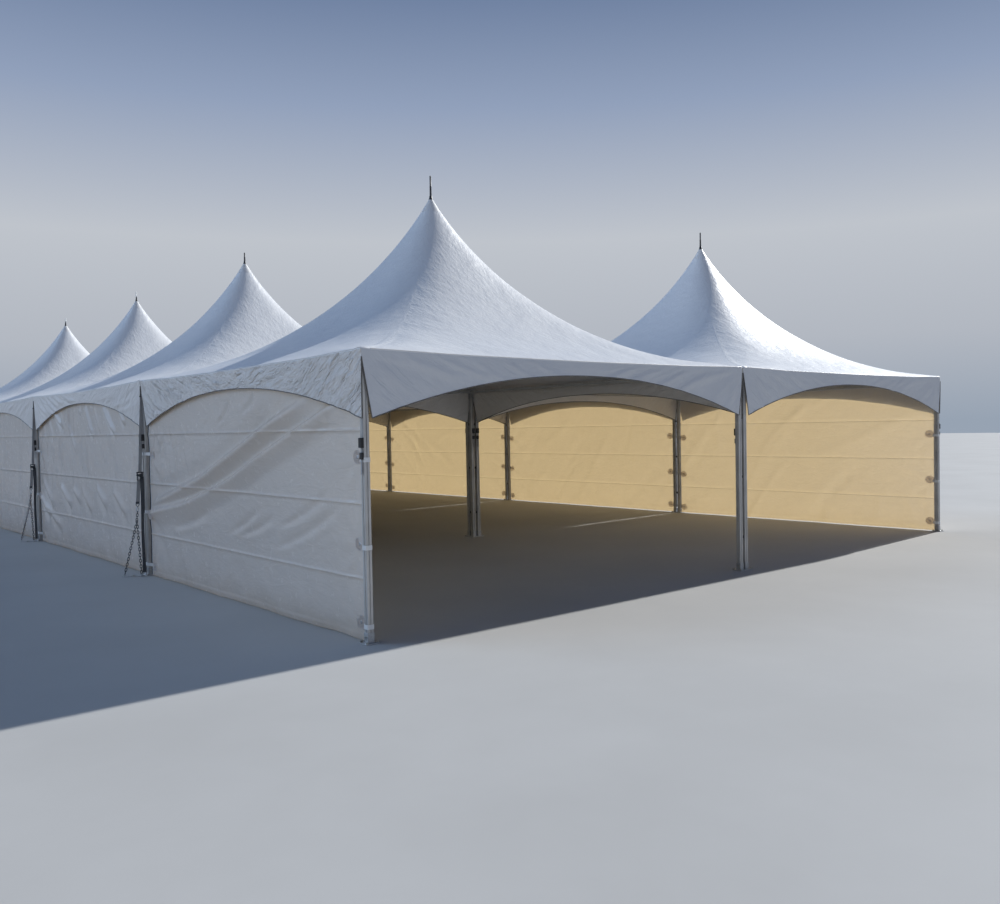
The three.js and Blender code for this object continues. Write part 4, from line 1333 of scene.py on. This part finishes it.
# ------------------------------------------------------------------ clips and tension straps
def leg_trim(i, j, places, mats):
    """White bands that hold the wall panels to the legs, and a short tension strap with its
    buckle from each canopy corner to its leg."""
    part = Part()
    lx, ly = line_x(i), line_y(j)
    raise_by = (0.0, 0.075, 0.0, 0.03, 0.0)[j]
    for x, y, (sx, sy) in places:
        # tension strap down the leg's face, on the side that faces out of the tent or to the front
        if i == 0 or i == 2:
            out = np.array([-1.0 if i == 0 else 1.0, 0, 0])
            side = np.array([0, 1.0, 0])
            lean = -sy * 0.010
        else:
            out = np.array([0, -1.0 if sy < 0 else 1.0, 0])
            side = np.array([1.0, 0, 0])
            lean = -sx * 0.010
        base = np.array([x, y, 0]) + out * 0.0335
        up = np.array([0, 0, 1.0])
        line = [base + up * z + side * lean for z in (2.585, 2.40, 2.20, 2.02 + raise_by, 1.955 + raise_by)]
        part.ribbon(line, 0.026, 0.0026, side, 0)
        base = base + up * raise_by
        lo = base + side * (lean - 0.025) + up * 1.875 - out * 0.0008
        hi = base + side * (lean + 0.025) + up * 1.970 + out * 0.032
        part.block(lo, hi, 0.003, 1)
        part.tube([base + up * 1.942 + out * 0.012 + side * (lean - 0.019), base + up * 1.942 + out * 0.012 + side * (lean + 0.019)], 0.0042, 8, 1)
        part.ribbon([base + up * z + side * lean + out * 0.001 for z in (1.89, 1.85, 1.82)], 0.026, 0.0026, side, 0)
        hook_lo = base + side * (lean - 0.022) + up * 1.765 - out * 0.0008
        hook_hi = base + side * (lean + 0.022) + up * 1.830 + out * 0.025
        part.block(hook_lo, hook_hi, 0.003, 1)
        part.ribbon([base + up * z + side * (lean + 0.004) + out * (0.010 + 0.004 * math.sin(9 * z)) for z in np.linspace(1.90, 1.62, 9)], 0.025, 0.0022, side, 0)
    # bands round the legs where two wall panels meet, or one meets the corner
    zs = (0.16, 0.92, 1.76)
    if i in (0, 2):
        sgn = -1.0 if i == 0 else 1.0
        plane = lx - sgn * WALL_PLANE
        for z in zs:
            ends = []
            if j > 0:
                ends.append(ly - 0.188 - (0.078 if i == 0 else 0.0))
            if j < 4:
                ends.append(ly + 0.188)
            o = sgn * 0.0345
            far = 0.078 if i == 0 else 0.0
            if len(ends) == 2:
                path = [(plane + sgn * 0.004, ly - 0.136 - far), (plane + sgn * 0.008, ly - 0.120 - far), (plane + o * 0.62, ly - 0.100), (plane + o, ly - 0.092),
                        (plane + o + sgn * 0.001, ly), (plane + o, ly + 0.092), (plane + o * 0.62, ly + 0.100), (plane + sgn * 0.008, ly + 0.120), (plane + sgn * 0.004, ly + 0.136)]
            else:
                s = 1.0 if j == 0 else -1.0
                gap = far if s < 0 else 0.0
                path = [(plane + sgn * 0.004, ly + s * (0.136 + gap)), (plane + sgn * 0.008, ly + s * (0.120 + gap)), (plane + o * 0.62, ly + s * 0.100), (plane + o, ly + s * 0.092),
                        (plane + o + sgn * 0.001, ly + s * 0.058), (plane + o, ly + s * 0.0245), (plane + o * 0.5, ly + s * 0.0225),
                        (plane - o * 0.9, ly + s * 0.0225), (plane - o, ly + s * 0.026), (plane - o, ly + s * 0.090), (plane - o * 0.5, ly + s * 0.102),
                        (plane - sgn * 0.006, ly + s * (0.136 + gap))]
            path = [(a, b, z) for a, b in path]
            part.ribbon(path, 0.046, 0.0030, (0, 0, 1.0), 2)
    part.make(f"leg_trim_{COLUMNS[i]}_{j + 1}", [mats["webbing"], mats["dark"], mats["webbing_white"]], angle=36)


# ------------------------------------------------------------------ put together
stage()
mats = {
    # roof fabric: both tones tinted a little blue, painted cool sky light for the shaded sides of the roofs
    "canopy": coated_fabric("canopy_fabric_sky_tinted", (0.87, 0.885, 0.905), (0.82, 0.84, 0.87), (0.34, 0.20, 0.10), 0.02, 0.0078, 0.40),
    # side valances: white fabric tinted warm, a painted cast of warm bounce light; the creased copy carries the same
    # tint a little darker
    "valance": coated_fabric("valance_fabric", (0.82, 0.79, 0.76), (0.76, 0.735, 0.71), (0.40, 0.27, 0.15), 0.015, 0.0028, 0.42, crumple=0.011),
    "valance_restless": coated_fabric("valance_fabric_creased", (0.79, 0.755, 0.72), (0.73, 0.70, 0.67), (0.40, 0.27, 0.15), 0.015, 0.0036, 0.42, crumple=0.026),
    "wall": coated_fabric("wall_fabric", (0.91, 0.91, 0.895), (0.84, 0.84, 0.825), (0.98, 0.72, 0.37), 0.34, 0.0015, 0.235, darken_low=1.0, crumple=0.0030),
    "wall_edge": coated_fabric("wall_edge_fabric", (0.84, 0.84, 0.83), (0.78, 0.78, 0.77), (0.60, 0.44, 0.26), 0.08, 0.0012, 0.42),
    "tape": coated_fabric("weld_tape", (0.86, 0.86, 0.86), (0.80, 0.80, 0.80), (0.50, 0.40, 0.26), 0.05, 0.0012, 0.42),
    "patch": coated_fabric("patch_fabric", (0.66, 0.64, 0.62), (0.56, 0.54, 0.52), (0.99, 0.95, 0.93), 0.66, 0.0010, 0.50),
    # front valances: the same white fabric made darker and bluer, painted shade of the side that faces away from the
    # sun
    "valance_front_shaded": coated_fabric("valance_fabric_front_shaded", (0.69, 0.71, 0.745), (0.64, 0.66, 0.70), (0.40, 0.27, 0.15), 0.015, 0.0022, 0.46, crumple=0.004),
    # dark strip in the gap between the left panels and their legs: painted shade
    "gap_shade_strip": webbing("painted_gap_shade", (0.055, 0.055, 0.060), (0.022, 0.022, 0.025)),
    # piping on the valance edges: dark partly as painted shade of the line under the edge
    "piping_with_shade_line": webbing("piping_with_shade_line", (0.22, 0.205, 0.19), (0.11, 0.105, 0.10)),
    "aluminium": metal("aluminium", (0.62, 0.61, 0.59), (0.44, 0.43, 0.415), 0.42, (8.0, 8.0, 0.25), 0.40),
    "galvanised": metal("galvanised", (0.52, 0.53, 0.54), (0.34, 0.35, 0.36), 0.46, (1.0, 1.0, 1.0), 0.85, spangle=0.5),
    "dark": metal("dark_steel", (0.060, 0.060, 0.064), (0.022, 0.022, 0.024), 0.42, (3.0, 3.0, 1.0), 0.6),
    "bolt": metal("zinc_bolt", (0.60, 0.59, 0.55), (0.36, 0.35, 0.32), 0.36, (2.0, 2.0, 2.0), 0.95),
    "cable": metal("wire_rope", (0.42, 0.43, 0.44), (0.20, 0.20, 0.21), 0.45, (60.0, 60.0, 60.0), 0.85),
    "webbing": webbing("grey_webbing", (0.58, 0.57, 0.56), (0.30, 0.30, 0.30)),
    "webbing_dark": webbing("dark_webbing", (0.17, 0.175, 0.18), (0.07, 0.072, 0.078)),
    "webbing_white": webbing("white_webbing", (0.92, 0.92, 0.91), (0.80, 0.80, 0.79), 0.6),
}
make_floor(plain_floor())

for j in range(4):
    for i in range(2):
        rng = np.random.default_rng(100 + 10 * j + i)
        cloth, P, side, s, starts, kind, area = canopy(i, j, mats, rng)
        trim = canopy_trim(i, j, P, side, s, starts, mats)
        eave_frame(i, j, mats)
        mast(i, j, mats)

for j in range(5):
    for i in range(3):
        leg_trim(i, j, legs(i, j, mats), mats)

panels = []
for j in range(4):
    panels.append((f"left_{j + 1}", (line_x(0) + WALL_PLANE, mid_y(j), 0), (0, 1, 0), (-1, 0, 0), j < 3))
    panels.append((f"right_{j + 1}", (line_x(2) - WALL_PLANE, mid_y(j), 0), (0, 1, 0), (1, 0, 0), j < 3))
for i in range(2):
    panels.append((f"back_{SIDES[i]}", (mid_x(i), line_y(4) - WALL_PLANE, 0), (1, 0, 0), (0, 1, 0), False))
for k, (name, origin, along, outward, fine) in enumerate(panels):
    rng = np.random.default_rng(500 + k)
    cloth, at = wall(name, f"wall_{name}", origin, along, outward, mats, rng, fine)
    fit = wall_fittings(name, origin, along, outward, at, mats)

place_straps(mats)
